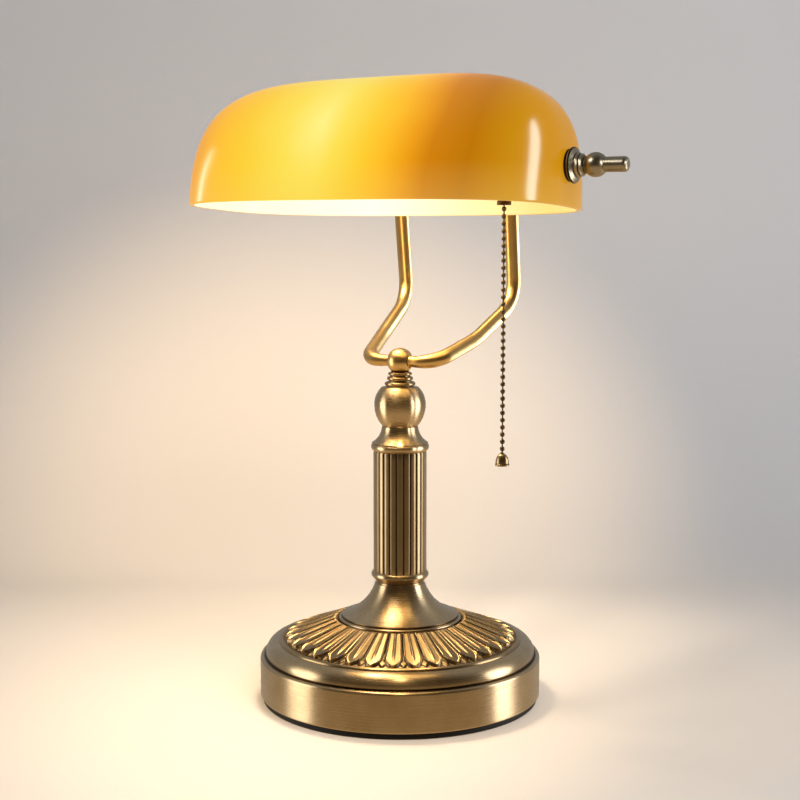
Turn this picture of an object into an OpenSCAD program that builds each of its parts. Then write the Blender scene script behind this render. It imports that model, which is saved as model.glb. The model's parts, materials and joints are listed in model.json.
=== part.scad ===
/* [Base] */
// Radius of the round base wall
base_r = 90; // [84:1:96]
// Height of the base wall below its rounded shoulder
wall_top = 27.5; // [26:0.5:28.5]
// Thickness of the rubber pad under the base
pad_t = 3.8; // [2:0.2:5]
// Number of petals around the base
petals = 34; // [24:1:40]

/* [Stem] */
// Radius of the reeded column over its reeds
column_r = 17; // [15:0.5:20]
// Height of the column's lower end above the table
column_low = 82.6; // [80:0.2:84]
// Height of the column's upper end above the table
column_high = 160; // [150:0.5:160]
// Number of reeds round the column
reeds = 24; // [16:1:30]
// Height of the pivot ball's centre above the table
ball_z = 217.7; // [217.7:0.1:218.5]
// Radius of the pivot ball
ball_r = 8.9; // [8.6:0.1:9.2]

/* [Arms] */
// Outer radius of the bent arm tubes
arm_r = 4.25; // [3.8:0.05:4.3]
// Half the distance between the two arms where they meet the crossbar
arm_x = 41.6; // [38:0.2:44]

/* [Shade] */
// Half length of the glass shade along the crossbar
shade_a = 125.7; // [122:0.5:130]
// Half width of the glass shade, front to back
shade_b = 64.8; // [62:0.5:68]
// Height of the glass shade
shade_h = 79.3; // [76:0.5:84]
// Thickness of the glass
glass_t = 3.5; // [2.5:0.1:4]
// Lean of the shade, its front rim up, in degrees
lean = 3.7; // [0:0.1:6]
// Height of the crossbar above the table
bar_z = 336.9; // [335:0.1:339]
// Height of the crossbar above the shade's rim
bar_over_rim = 23.1; // [22:0.1:25]
// Distance of the crossbar in front of the stem's axis
bar_front = 24.1; // [20:0.1:28]

/* [Chain] */
// Distance of the pull chain from the stem's axis, along the crossbar
chain_x = 84.3; // [80:0.1:86]
// Radius of a chain bead
bead_r = 1.5; // [1.2:0.05:1.6]
// Distance between neighbouring beads
bead_pitch = 4.3; // [4:0.05:4.4]
// Number of beads in each half of the chain
half_beads = 17; // [10:1:18]

/* [Hidden] */
$fn = 64;

// Colours of the materials
brass = [0.60, 0.50, 0.33];
dark_brass = [0.34, 0.27, 0.17];
steel = [0.70, 0.70, 0.68];
iron = [0.25, 0.25, 0.26];
rubber = [0.07, 0.07, 0.07];
amber = [0.97, 0.68, 0.10];
porcelain = [0.93, 0.92, 0.88];

// Fits: free gap round fixed pieces, and running gap round moving ones
fixed_gap = 0.05;
running_gap = 0.06;

// Heights of the base and the stem
weight_top = 13;
deck_z = 47;
deck_low = 36;
deck_r = base_r - 11.8;
ring_z = 38;
petal_top = 52.9;
cone_low = 51;
cone_top = 75.4;
knop_low = 177;
knop_mid = 190.2;
knop_top = 201.7;
ring_h = 3.35;
seat_top = ball_z - 5.4;
seat_low = knop_top + 2 * ring_h + 0.3;

// Threaded tie rod through the whole stem
rod_r = 4.9;
rod_bore = 3;
rod_low = 4.3;
rod_high = ball_z - 4.2;

// Pivot: the nipple turns in the ball, and the arms are fixed on its ends
nipple_r = 3.15;
nipple_bore = 1.9;
nipple_half = 12.2;
ball_cup_x = 7;
arm_start = ball_cup_x + 0.3;
arm_bore = nipple_r + fixed_gap;
bar_y = -bar_front;
tee_reach = 17;
tee_r = 7.4;

// Corners of the right arm's centre line and the radius of each bend
arm_corners = [
    [arm_start, 0, ball_z],
    [25, 0, ball_z],
    [35, 37, ball_z + 12.8],
    [arm_x - 0.6, 81, ball_z + 35.3],
    leaned([arm_x, 95.8, 0]),
    leaned([arm_x, tee_reach - 7, 0])
];
arm_bends = [16, 65, 23, 20];

// Shade outline: exponents of the plan, the long profile and the cross profile
plan_n = 3.0;
long_n = 3.95;
cross_n = 1.72;
shade_turns = 72;
rim_land = 0.5;
shade_levels = [0, 0.16, 0.32, 0.46, 0.58, 0.68, 0.77, 0.85, 0.91, 0.955, 0.985, 0.998];

// Crossbar and the pieces on it, along X from the middle of the shade
bar_r = 4.75;
glass_in_x = shade_a - glass_t - 1.15;
bar_bore = 3;
wall_x = shade_a - 0.15;
nut_t = 4;
washer_t = 1.5;
flange_t = 3.2;
knob_gap = 0.15;

// Bulb and its socket, on an axis above the crossbar
socket_up = 28;
socket_x = 62;
socket_bore = 3;
shell_r = 17;
shell_len = 34;
cap_len = 9;
cap_screw_r = 13.2;
bulb_r = 19;
bulb_neck_x = 18.5;
bulb_end_x = -84;

// Pull switch under the crossbar
housing_r = 10;
housing_low = 320.8;
housing_high = bar_z + 8.5;
cavity_r = 6;
cavity_low = 322.3;
cavity_high = 331.5;
guide_r = 4.25;
guide_low = 314.7;
guide_bore = 2;
plunger_r = 1.6;
plunger_head_r = 5;
spring_r = 3.9;
spring_wire_r = 0.45;
spring_high = 329.3;
spring_turns = 4;

// Chain: its upper half hangs from the plunger, and its lower half from the upper
link_r = 0.45;
chain_top = guide_low + 3;
first_bead = guide_low - 2.2;
upper_end = first_bead - (half_beads - 1) * bead_pitch;
lower_first = upper_end - bead_pitch;
lower_end = lower_first - (half_beads - 1) * bead_pitch;
bell_top = lower_end - bead_r - 0.2;
bell_h = 8.6;

// Points of an arc in a profile, from angle a0 to angle a1
function arc(cx, cy, r, a0, a1, n = 8) =
    [for (i = [0:n]) let (a = a0 + (a1 - a0) * i / n) [cx + r * cos(a), cy + r * sin(a)]];

// A point of the shade's own frame, which leans about the crossbar, in the lamp's frame
function leaned(p) =
    [p[0], bar_y + p[1] * cos(lean) + p[2] * sin(lean), bar_z - p[1] * sin(lean) + p[2] * cos(lean)];

function unit(v) = v / norm(v);

// Signed power, which shapes a superellipse
function spow(v, e) = sign(v) * pow(abs(v), e);

// One point of the shade's skin: half sizes a, b, h, at a share of the height and a turn
function skin_point(a, b, h, level, turn) =
    let (
        wide = a * pow(1 - pow(level, long_n), 1 / long_n),
        deep = b * pow(1 - pow(level, cross_n), 1 / cross_n)
    )
    [wide * spow(cos(turn), 2 / plan_n), deep * spow(sin(turn), 2 / plan_n), level * h];

// Places the children in the shade's leaning frame, with the crossbar as its X axis
module in_head() {
    translate([0, bar_y, bar_z]) rotate([-lean, 0, 0]) children();
}

// A cylinder along X from x0 to x1
module x_cyl(x0, x1, r, r2 = -1) {
    translate([x0, 0, 0]) rotate([0, 90, 0]) cylinder(h = x1 - x0, r1 = r, r2 = r2 < 0 ? r : r2);
}

// A hexagon prism along X from x0 to x1
module x_hex(x0, x1, r) {
    translate([x0, 0, 0]) rotate([0, 90, 0]) cylinder(h = x1 - x0, r = r, $fn = 6);
}

// Turns a profile of [radius, distance] points about the X axis
module x_turned(points) {
    rotate([0, 90, 0]) rotate_extrude() polygon(points);
}

// Points of a rounded corner: the path turns at b with a bend radius
function rounded_corner(a, b, c, bend_r, n) =
    let (
        d1 = unit(b - a),
        d2 = unit(c - b),
        angle = acos(d1 * d2),
        inward = unit(d2 - d1 * cos(angle)),
        centre = b - d1 * bend_r * tan(angle / 2) + inward * bend_r
    )
    [for (k = [0:n]) let (t = angle * k / n) centre - inward * bend_r * cos(t) + d1 * bend_r * sin(t)];

// The whole path through a list of corners
function bent_path(corners, bends, n = 7) = concat(
    [corners[0]],
    [for (i = [1:len(corners) - 2])
        each rounded_corner(corners[i - 1], corners[i], corners[i + 1], bends[i - 1], n)],
    [corners[len(corners) - 1]]
);

// Directions along a path, one at each point
function path_dirs(path) =
    let (last = len(path) - 1)
    [for (i = [0:last]) unit(
        (i < last ? unit(path[i + 1] - path[i]) : [0, 0, 0]) + (i > 0 ? unit(path[i] - path[i - 1]) : [0, 0, 0])
    )];

// A vector square to each direction, carried along the path without twisting
function path_sides(dirs, start) =
    [for (i = 0, s = start; i < len(dirs);
        s = unit(s - dirs[min(i + 1, len(dirs) - 1)] * (s * dirs[min(i + 1, len(dirs) - 1)])), i = i + 1) s];

function pipe_rings(path, dirs, sides, r, n) =
    [for (i = [0:len(path) - 1]) for (j = [0:n - 1])
        let (a = 360 * j / n) path[i] + r * (cos(a) * sides[i] + sin(a) * cross(dirs[i], sides[i]))];

// Pipe swept along a path that starts along X; a bore of 0 makes a solid rod
module bent_pipe(path, r_out, r_in, n = 20) {
    dirs = path_dirs(path);
    sides = path_sides(dirs, [0, 0, 1]);
    last = len(path) - 1;
    inner = (last + 1) * n;
    skin = [for (i = [0:last - 1]) for (j = [0:n - 1]) let (k = (j + 1) % n) each [
        [i * n + j, (i + 1) * n + j, i * n + k],
        [i * n + k, (i + 1) * n + j, (i + 1) * n + k]
    ]];
    bore = [for (f = skin) [for (p = [2:-1:0]) f[p] + inner]];
    open_ends = [for (j = [0:n - 1]) let (k = (j + 1) % n) each [
        [j, k, inner + k, inner + j],
        [last * n + j, inner + last * n + j, inner + last * n + k, last * n + k]
    ]];
    closed_ends = [[for (j = [0:n - 1]) j], [for (j = [n - 1:-1:0]) last * n + j]];
    if (r_in > 0)
        polyhedron(concat(pipe_rings(path, dirs, sides, r_out, n), pipe_rings(path, dirs, sides, r_in, n)),
            concat(skin, bore, open_ends));
    else
        polyhedron(pipe_rings(path, dirs, sides, r_out, n), concat(skin, closed_ends));
}

// A turned ring with a rounded rim, between two heights
module bead_ring(low, high, r, bore, round_r) {
    rotate_extrude() polygon(concat(
        [[bore, low]],
        arc(r - round_r, low + round_r, round_r, -90, 0, 5),
        arc(r - round_r, high - round_r, round_r, 0, 90, 5),
        [[bore, high]]
    ));
}

// ---- Base ----

module base_pad() {
    color(rubber) cylinder(h = pad_t, r = base_r - 1.5);
}

module base_weight() {
    boss_r = 14;
    nut_pocket_r = 12;
    nut_pocket_top = 9.6;
    color(iron) difference() {
        union() {
            translate([0, 0, pad_t]) cylinder(h = weight_top - pad_t, r = base_r - 10);
            translate([0, 0, weight_top - 1]) cylinder(h = deck_z - 1.7 - weight_top + 1, r = boss_r);
        }
        translate([0, 0, pad_t - 1]) cylinder(h = nut_pocket_top - pad_t + 1, r = nut_pocket_r);
        cylinder(h = deck_z, r = rod_r + fixed_gap);
    }
}

module base_shell() {
    sheet = 1.6;
    shoulder_r = 1.5;
    shoulder_x = base_r - shoulder_r;
    roll_r = 7.6;
    roll_x = base_r - 11.2;
    color(brass) difference() {
        rotate_extrude() polygon(concat(
            [[rod_r + fixed_gap, deck_z - sheet], [40, deck_z - sheet], [deck_r - 1, deck_low - sheet]],
            [[roll_x + 4.6, ring_z - 6.2], [roll_x + 6, ring_z - 9], [base_r - 2.4, wall_top - 0.6]],
            [[base_r - sheet, wall_top - 2], [base_r - sheet, pad_t], [base_r, pad_t]],
            arc(shoulder_x, wall_top, shoulder_r, 0, 78, 8),
            arc(roll_x, ring_z - roll_r, roll_r, 0, 90, 8),
            [[deck_r, deck_low], [40, deck_z], [rod_r + fixed_gap, deck_z]]
        ));
        translate([0, base_r, 14]) rotate([90, 0, 0]) cylinder(h = 20, r = 5.5, center = true);
    }
}

module petal_ring() {
    outer = deck_r - 0.4;
    tip_r = outer - 4.6;
    tip_z = ring_z + 2.2;
    inner_r = 43;
    slope = atan((petal_top - tip_z) / (tip_r - inner_r));
    color(brass) difference() {
        rotate_extrude() polygon(concat(
            [[40.2, deck_z + 0.05], [outer, deck_low + 0.25]],
            arc(outer - 1.6, ring_z + 0.2, 1.6, 0, 90, 5),
            [[tip_r + 1, ring_z + 0.8], [tip_r, tip_z], [inner_r, petal_top], [40.2, petal_top]]
        ));
        for (i = [0:petals - 1]) rotate([0, 0, 360 * i / petals])
            translate([tip_r, 0, tip_z - 1.1]) rotate([0, slope, 0])
                petal_gap((tip_r - inner_r) / cos(slope));
    }
}

// The gap between two petals, from its pointed inner end to the petals' tips at the origin
module petal_gap(long) {
    half_pitch = PI * 70 / petals;
    linear_extrude(3) polygon([
        [-long + 2, 0], [-0.3 * long, -0.7], [-0.12 * long, -0.22 * half_pitch], [0.6, -0.86 * half_pitch],
        [0.6, 0.86 * half_pitch], [-0.12 * long, 0.22 * half_pitch], [-0.3 * long, 0.7]
    ]);
}

module pedestal_cone() {
    flange_r = 39.4;
    sweep_r = 31;
    color(brass) rotate_extrude() polygon(concat(
        [[rod_r + fixed_gap, deck_z + 0.05], [flange_r - 3, deck_z + 0.05], [flange_r - 3, cone_low]],
        [[flange_r, cone_low], [flange_r, cone_low + 2.4]],
        arc(45.5, 84.5, sweep_r, 257, 197.1, 14),
        [[rod_r + fixed_gap, cone_top]]
    ));
}

module lower_collar() {
    color(brass) bead_ring(cone_top, column_low, column_r + 1.4, rod_r + fixed_gap, 3.2);
}

module reeded_column() {
    reed_r = PI * (column_r - 1.6) / reeds;
    reed_x = column_r - reed_r;
    tall = column_high - column_low;
    color(brass) translate([0, 0, column_low]) difference() {
        linear_extrude(tall) polygon([
            for (i = [0:reeds - 1]) for (p = arc(reed_x, 0, reed_r, -80, 80, 7))
                let (turn = 360 * i / reeds)
                [p[0] * cos(turn) - p[1] * sin(turn), p[0] * sin(turn) + p[1] * cos(turn)]
        ]);
        translate([0, 0, -1]) cylinder(h = tall + 2, r = column_r - 5);
    }
}

module upper_collar() {
    collar_r = column_r + 1.5;
    bead_top = column_high + 6.4;
    neck_arc_r = 13;
    color(brass) rotate_extrude() polygon(concat(
        [[rod_r + fixed_gap, column_high]],
        arc(collar_r - 3, column_high + 3, 3, -90, 0, 5),
        arc(collar_r - 3, bead_top - 3, 3, 0, 70, 5),
        arc(24.5, knop_low, neck_arc_r, 235, 180, 8),
        [[rod_r + fixed_gap, knop_low]]
    ));
}

module knop() {
    widest = 16.4;
    below = 19;
    above = 15.8;
    color(brass) rotate_extrude() polygon(concat(
        [[rod_r + fixed_gap, knop_low]],
        [for (i = [0:8]) let (z = knop_low + (knop_mid - knop_low) * i / 8)
            [widest * sqrt(1 - pow((knop_mid - z) / below, 2)), z]],
        [for (i = [1:8]) let (z = knop_mid + (knop_top - knop_mid) * i / 8)
            [widest * sqrt(1 - pow((z - knop_mid) / above, 2)), z]],
        [[rod_r + fixed_gap, knop_top]]
    ));
}

module neck_ring_lower() {
    color(brass) bead_ring(knop_top, knop_top + ring_h, 9.8, rod_r + fixed_gap, 1.5);
}

module neck_ring_upper() {
    color(brass) bead_ring(knop_top + ring_h, knop_top + 2 * ring_h, 8.3, rod_r + fixed_gap, 1.3);
}

module ball_seat() {
    color(brass) difference() {
        translate([0, 0, knop_top + 2 * ring_h]) cylinder(h = seat_top - seat_low + 0.3, r = 7.6);
        translate([0, 0, ball_z]) sphere(r = ball_r + fixed_gap);
        cylinder(h = ball_z, r = rod_r + fixed_gap);
    }
}

module tie_rod() {
    color(steel) translate([0, 0, rod_low]) difference() {
        cylinder(h = rod_high - rod_low, r = rod_r);
        translate([0, 0, -1]) cylinder(h = rod_high - rod_low + 2, r = rod_bore);
    }
}

module rod_washer() {
    color(steel) translate([0, 0, 8.4]) difference() {
        cylinder(h = 1.2, r = 11);
        translate([0, 0, -1]) cylinder(h = 4, r = rod_r + fixed_gap);
    }
}

module rod_nut() {
    color(steel) translate([0, 0, 4.4]) difference() {
        cylinder(h = 4, r = 9, $fn = 6);
        translate([0, 0, -1]) cylinder(h = 6, r = rod_r + fixed_gap);
    }
}

module cord_bushing() {
    color(rubber) translate([0, base_r, 14]) rotate([90, 0, 0]) difference() {
        union() {
            translate([0, 0, -2.2]) cylinder(h = 2.1, r = 7.6);
            translate([0, 0, -0.2]) cylinder(h = 2.2, r = 5.45);
            translate([0, 0, 1.9]) cylinder(h = 4.6, r = 6.4);
        }
        translate([0, 0, -4]) cylinder(h = 14, r = 3.2);
    }
}

module base_wire() {
    color(rubber) translate([0, 0, rod_low]) cylinder(h = rod_high - rod_low - 1, r = 2.2, $fn = 32);
}

// ---- Pivot and arms ----

module pivot_ball() {
    color(brass) difference() {
        translate([0, 0, ball_z]) sphere(r = ball_r);
        translate([0, 0, ball_z - ball_r - 1])
            cylinder(h = rod_high - ball_z + ball_r + 1.2, r = rod_r + fixed_gap);
        translate([0, 0, ball_z]) {
            x_cyl(-ball_r - 1, ball_r + 1, nipple_r + running_gap);
            for (side = [-1, 1]) translate([side * (ball_cup_x + 2), 0, 0]) x_cyl(-2, 2, arm_r + 0.45);
            rotate([-90, 0, 0]) cylinder(h = ball_r + 1, r = 2);
        }
    }
}

module friction_screw() {
    tip = nipple_r + running_gap;
    color(steel) translate([0, 0, ball_z]) rotate([-90, 0, 0]) difference() {
        translate([0, 0, tip]) cylinder(h = ball_r + 1.6 - tip, r = 1.95);
        translate([-0.4, -3, ball_r + 0.6]) cube([0.8, 6, 2]);
    }
}

module pivot_nipple() {
    color(steel) translate([0, 0, ball_z]) difference() {
        x_cyl(-nipple_half, nipple_half, nipple_r);
        x_cyl(-nipple_half - 1, nipple_half + 1, nipple_bore);
    }
}

module right_arm() {
    color(brass) bent_pipe(bent_path(arm_corners, arm_bends), arm_r, arm_bore);
}

module left_arm() {
    color(brass) mirror([1, 0, 0]) bent_pipe(bent_path(arm_corners, arm_bends), arm_r, arm_bore);
}

module arm_wire() {
    wire_corners = concat([[0, 0, ball_z]], [for (i = [1:len(arm_corners) - 1]) arm_corners[i]]);
    color(rubber) bent_pipe(bent_path(wire_corners, arm_bends, 5), 1.3, 0, 8);
}

// How far behind the crossbar the glass's outer face lies, at a distance x along it and z above it
function rear_wall_y(x, z) =
    let (
        level = (bar_over_rim + z) / shade_h,
        wide = shade_a * pow(1 - pow(level, long_n), 1 / long_n),
        deep = shade_b * pow(1 - pow(level, cross_n), 1 / cross_n)
    )
    deep * pow(1 - pow(x / wide, plan_n), 1 / plan_n);

// Grommet in the hole that an arm passes through: its collar lies flat on the glass
module grommet(side) {
    hole_r = arm_r + 1.6;
    collar_r = hole_r + 2;
    wall_y = rear_wall_y(arm_x, 0);
    fall = atan((rear_wall_y(arm_x, -collar_r) - rear_wall_y(arm_x, collar_r)) / (2 * collar_r));
    turn = atan((rear_wall_y(arm_x - collar_r, 0) - rear_wall_y(arm_x + collar_r, 0)) / (2 * collar_r));
    color(rubber) in_head() translate([side * arm_x, 0, 0]) difference() {
        union() {
            translate([0, wall_y, 0]) rotate([0, 0, -side * turn]) rotate([fall - 90, 0, 0])
                translate([0, 0, 0.25]) cylinder(h = 2, r = collar_r);
            translate([0, wall_y - 7, 0]) rotate([-90, 0, 0]) cylinder(h = 8, r = hole_r - fixed_gap);
        }
        translate([0, wall_y - 10, 0]) rotate([-90, 0, 0]) cylinder(h = 22, r = arm_r + fixed_gap);
    }
}

module left_grommet() {
    grommet(-1);
}

module right_grommet() {
    grommet(1);
}

// Tee on the crossbar that takes an arm's end
module tee(side) {
    half = 9;
    color(brass) in_head() translate([side * arm_x, 0, 0]) difference() {
        union() {
            x_cyl(-half, half, tee_r);
            rotate([-90, 0, 0]) cylinder(h = tee_reach, r = arm_r + 2.2);
        }
        x_cyl(-half - 1, half + 1, bar_r + fixed_gap);
        rotate([-90, 0, 0]) cylinder(h = tee_reach + 1, r = arm_r + fixed_gap);
        for (x = [-5, 5]) translate([x, 0, -tee_r - 1]) cylinder(h = tee_r, r = 1.5);
    }
}

module left_tee() {
    tee(-1);
}

module right_tee() {
    tee(1);
}

module tee_screws() {
    color(steel) in_head() for (side = [-1, 1]) for (x = [-5, 5])
        translate([side * arm_x + x, 0, -tee_r - 0.6]) cylinder(h = tee_r + 0.5 - bar_r, r = 1.45, $fn = 32);
}

// ---- Crossbar and the pieces that hold the glass ----

module crossbar() {
    color(steel) translate([0, bar_y, bar_z]) difference() {
        x_cyl(-wall_x - 7, wall_x + 8, bar_r);
        x_cyl(-wall_x - 8, wall_x + 9, bar_bore);
    }
}

module inner_nuts() {
    inner_x = glass_in_x - washer_t;
    color(steel) in_head() for (side = [-1, 1]) difference() {
        translate([side * (inner_x - nut_t / 2), 0, 0]) x_hex(-nut_t / 2, nut_t / 2, 8.4);
        translate([side * (inner_x - nut_t / 2), 0, 0]) x_cyl(-nut_t, nut_t, bar_r + fixed_gap);
    }
}

// A washer on the crossbar between two distances from the middle
module bar_washer(side, x0, x1, r) {
    translate([side * (x0 + x1) / 2, 0, 0]) difference() {
        x_cyl(-(x1 - x0) / 2, (x1 - x0) / 2, r);
        x_cyl(-(x1 - x0), x1 - x0, bar_r + fixed_gap);
    }
}

module inner_washers() {
    color(rubber) in_head() for (side = [-1, 1]) bar_washer(side, glass_in_x - washer_t, glass_in_x, 9);
}

module outer_washers() {
    color(rubber) in_head() for (side = [-1, 1]) bar_washer(side, wall_x + 0.2, wall_x + 0.2 + washer_t, 9.4);
}

module left_cap_nut() {
    seat = wall_x + 0.2 + washer_t;
    color(dark_brass) translate([0, bar_y, bar_z]) mirror([1, 0, 0]) difference() {
        x_turned(concat([[0, seat], [9.6, seat]], arc(0, seat + 2, 9.6, 0, 90, 10)));
        x_cyl(seat - 1, wall_x + 7.3, bar_r + fixed_gap);
    }
}

module clamp_flange() {
    seat = wall_x + 0.2 + washer_t;
    color(dark_brass) translate([0, bar_y, bar_z]) difference() {
        x_turned(concat(
            [[0, seat], [9.8, seat]],
            arc(9.4, seat + 1, 1, -45, 90, 5),
            [[7.4, seat + flange_t], [0, seat + flange_t]]
        ));
        x_cyl(seat - 1, seat + flange_t + 1, bar_r + fixed_gap);
    }
}

module clamp_knob() {
    seat = wall_x + 0.2 + washer_t + flange_t + knob_gap;
    ball_x = shade_a + 16;
    stem_end = shade_a + 35.6;
    knob_ball_r = 7.1;
    color(dark_brass) translate([0, bar_y, bar_z]) difference() {
        x_turned(concat(
            [[0, seat], [6.9, seat], [7.1, seat + 1.2], [6.2, seat + 2.2]],
            [[6.6, seat + 3.2], [5.2, seat + 4.2]],
            arc(0, ball_x, knob_ball_r, 0, 52, 8),
            [[4.45, ball_x + 6.4], [3.6, stem_end - 2.4]],
            arc(1.2, stem_end - 2.4, 2.4, 0, 90, 5),
            [[0, stem_end]]
        ));
        x_cyl(seat - 1, wall_x + 8.3, bar_r + running_gap);
    }
}

// ---- Glass shade ----

// A closed domed solid: rings of points from the rim up, and one point on top
module dome(a, b, h, low) {
    ring = shade_turns;
    levels = len(shade_levels);
    rim = [for (j = [0:ring - 1]) let (p = skin_point(a, b, h, 0, 360 * j / ring)) [p[0], p[1], low]];
    body = [for (k = [0:levels - 1]) for (j = [0:ring - 1])
        skin_point(a, b, h, shade_levels[k], 360 * j / ring)];
    points = concat(rim, body, [[0, 0, h]]);
    rows = levels + 1;
    top = rows * ring;
    polyhedron(points, concat(
        [[for (j = [0:ring - 1]) j]],
        [for (k = [0:rows - 2]) for (j = [0:ring - 1]) let (n = (j + 1) % ring)
            [k * ring + j, (k + 1) * ring + j, k * ring + n]],
        [for (k = [0:rows - 2]) for (j = [0:ring - 1]) let (n = (j + 1) % ring)
            [k * ring + n, (k + 1) * ring + j, (k + 1) * ring + n]],
        [for (j = [0:ring - 1]) [(rows - 1) * ring + j, top, (rows - 1) * ring + (j + 1) % ring]]
    ));
}

module shade() {
    color(amber) in_head() difference() {
        translate([0, 0, -bar_over_rim]) difference() {
            dome(shade_a, shade_b, shade_h, -rim_land);
            dome(shade_a - glass_t, shade_b - glass_t, shade_h - glass_t, -2 * rim_land);
        }
        x_cyl(-shade_a - 10, shade_a + 10, bar_r + 0.4);
        for (side = [-1, 1]) translate([side * arm_x, 0, 0]) rotate([-90, 0, 0])
            cylinder(h = shade_b + 10, r = arm_r + 1.6);
    }
}

// ---- Socket and bulb ----

module socket_bracket() {
    hub = 5;
    plate_x = socket_x + 0.5;
    plate_t = 3;
    color(steel) in_head() difference() {
        union() {
            translate([socket_x, 0, 0]) x_cyl(-hub, hub, 7.4);
            translate([plate_x, -6, 0]) cube([plate_t, 12, socket_up]);
            translate([plate_x, 0, socket_up]) x_cyl(0, plate_t, 9);
        }
        translate([socket_x, 0, 0]) x_cyl(-hub - 1, hub + 1, bar_r + fixed_gap);
        translate([plate_x, 0, socket_up]) x_cyl(-1, plate_t + 1, socket_bore);
    }
}

module socket_cap() {
    back = socket_x + 0.5;
    color(brass) in_head() translate([0, 0, socket_up]) difference() {
        x_turned([
            [3, back], [10, back], [13, back - 2], [shell_r, back - cap_len + 2], [shell_r, back - cap_len],
            [shell_r - 1.2, back - cap_len], [shell_r - 1.2, back - cap_len + 1.6],
            [12, back - 3.4], [3, back - 1.4]
        ]);
        x_cyl(back - 3, back + 1, socket_bore);
    }
}

module socket_shell() {
    back = socket_x + 0.5 - cap_len;
    color(brass) in_head() translate([0, 0, socket_up]) difference() {
        x_cyl(back - shell_len, back, shell_r);
        x_cyl(back - shell_len - 1, back + 1, shell_r - 1);
    }
}

module socket_liner() {
    back = socket_x + 0.5 - cap_len;
    color(rubber) in_head() translate([0, 0, socket_up]) difference() {
        x_cyl(back - shell_len + 1, back, shell_r - 1.05);
        x_cyl(back - shell_len, back - 4, shell_r - 2.6);
        x_cyl(back - 5, back + 1, 3);
    }
}

module screw_shell() {
    back = socket_x + 0.5 - cap_len - 5;
    color(brass) in_head() translate([0, 0, socket_up]) difference() {
        x_cyl(back - 26, back, shell_r - 2.65);
        x_cyl(back - 27, back - 1, cap_screw_r + running_gap);
        x_cyl(back - 2, back + 1, 6);
    }
}

module centre_contact() {
    back = socket_x + 0.5 - cap_len - 4.1;
    color(brass) in_head() translate([0, 0, socket_up]) x_cyl(back - 2.2, back, 3.5);
}

// Profile of the bulb's glass from its neck to its round end, in the shade's frame
function bulb_outline(inset) =
    let (r = bulb_r - inset, mid = bulb_end_x + bulb_r)
    concat(
        [[11.6 - inset, bulb_neck_x], [11.8 - inset, bulb_neck_x - 8], [14.4 - inset, bulb_neck_x - 16]],
        [[bulb_r - 1.4 - inset, bulb_neck_x - 24], [r, bulb_neck_x - 34]],
        arc(0, mid, r, 0, -90, 10)
    );

module bulb_glass() {
    glass = 0.9;
    color(porcelain) in_head() translate([0, 0, socket_up]) difference() {
        x_turned(concat([[0, bulb_neck_x]], bulb_outline(0)));
        x_turned(concat([[0, bulb_neck_x + 1], [11.6 - glass, bulb_neck_x + 1]], bulb_outline(glass)));
    }
}

module bulb_cap() {
    tail = bulb_neck_x + 27;
    color(steel) in_head() translate([0, 0, socket_up]) difference() {
        x_turned([
            [0, bulb_neck_x - 1], [cap_screw_r, bulb_neck_x - 1], [cap_screw_r, tail - 4], [9, tail], [0, tail]
        ]);
        x_turned([
            [0, bulb_neck_x - 2], [11.65, bulb_neck_x - 2], [11.65, tail - 5], [8, tail - 1], [0, tail - 1]
        ]);
        x_cyl(tail - 2, tail + 1, 6);
    }
}

module bulb_insulator() {
    tail = bulb_neck_x + 27;
    color(rubber) in_head() translate([0, 0, socket_up]) difference() {
        x_cyl(tail - 3, tail + 1, 5.95);
        x_cyl(tail - 4, tail + 2, 3);
    }
}

module bulb_contact() {
    tail = bulb_neck_x + 27;
    color(steel) in_head() translate([0, 0, socket_up]) x_cyl(tail - 2, tail + 1.6, 2.95);
}

module filament_mount() {
    stem_end = bulb_neck_x - 16;
    lead_gap = 3.4;
    filament_x = bulb_neck_x - 62;
    color(steel) in_head() translate([0, 0, socket_up]) {
        x_turned([
            [0, bulb_neck_x + 6], [8, bulb_neck_x + 4], [3, bulb_neck_x - 6], [3, stem_end + 3],
            [5, stem_end + 2], [5, stem_end], [0, stem_end]
        ]);
        for (side = [-1, 1]) translate([0, 0, side * lead_gap]) x_cyl(filament_x - 0.2, stem_end + 0.5, 0.5);
        translate([filament_x, 0, -lead_gap - 1.5]) cylinder(h = 2 * lead_gap + 3, r = 0.9);
    }
}

// ---- Pull switch and chain ----

module at_chain() {
    translate([chain_x, bar_y, 0]) children();
}

module switch_housing() {
    color(dark_brass) at_chain() difference() {
        translate([0, 0, housing_low]) cylinder(h = housing_high - housing_low, r = housing_r);
        translate([0, 0, bar_z]) x_cyl(-housing_r - 1, housing_r + 1, bar_r + fixed_gap);
        translate([0, 0, cavity_low]) cylinder(h = cavity_high - cavity_low, r = cavity_r);
        translate([0, 0, housing_low - 1]) cylinder(h = 4, r = guide_bore);
    }
}

module chain_guide() {
    color(dark_brass) at_chain() difference() {
        union() {
            translate([0, 0, guide_low]) cylinder(h = 2.6, r = guide_r);
            translate([0, 0, guide_low + 2.5]) cylinder(h = housing_low - guide_low - 2.5, r = guide_r - 0.9);
        }
        translate([0, 0, guide_low - 1]) cylinder(h = housing_low - guide_low + 2, r = guide_bore);
    }
}

module switch_plunger() {
    color(steel) at_chain() {
        translate([0, 0, spring_high + 0.05]) cylinder(h = 1.6, r = plunger_head_r);
        translate([0, 0, chain_top + 0.4]) cylinder(h = spring_high - chain_top, r = plunger_r);
    }
}

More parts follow.
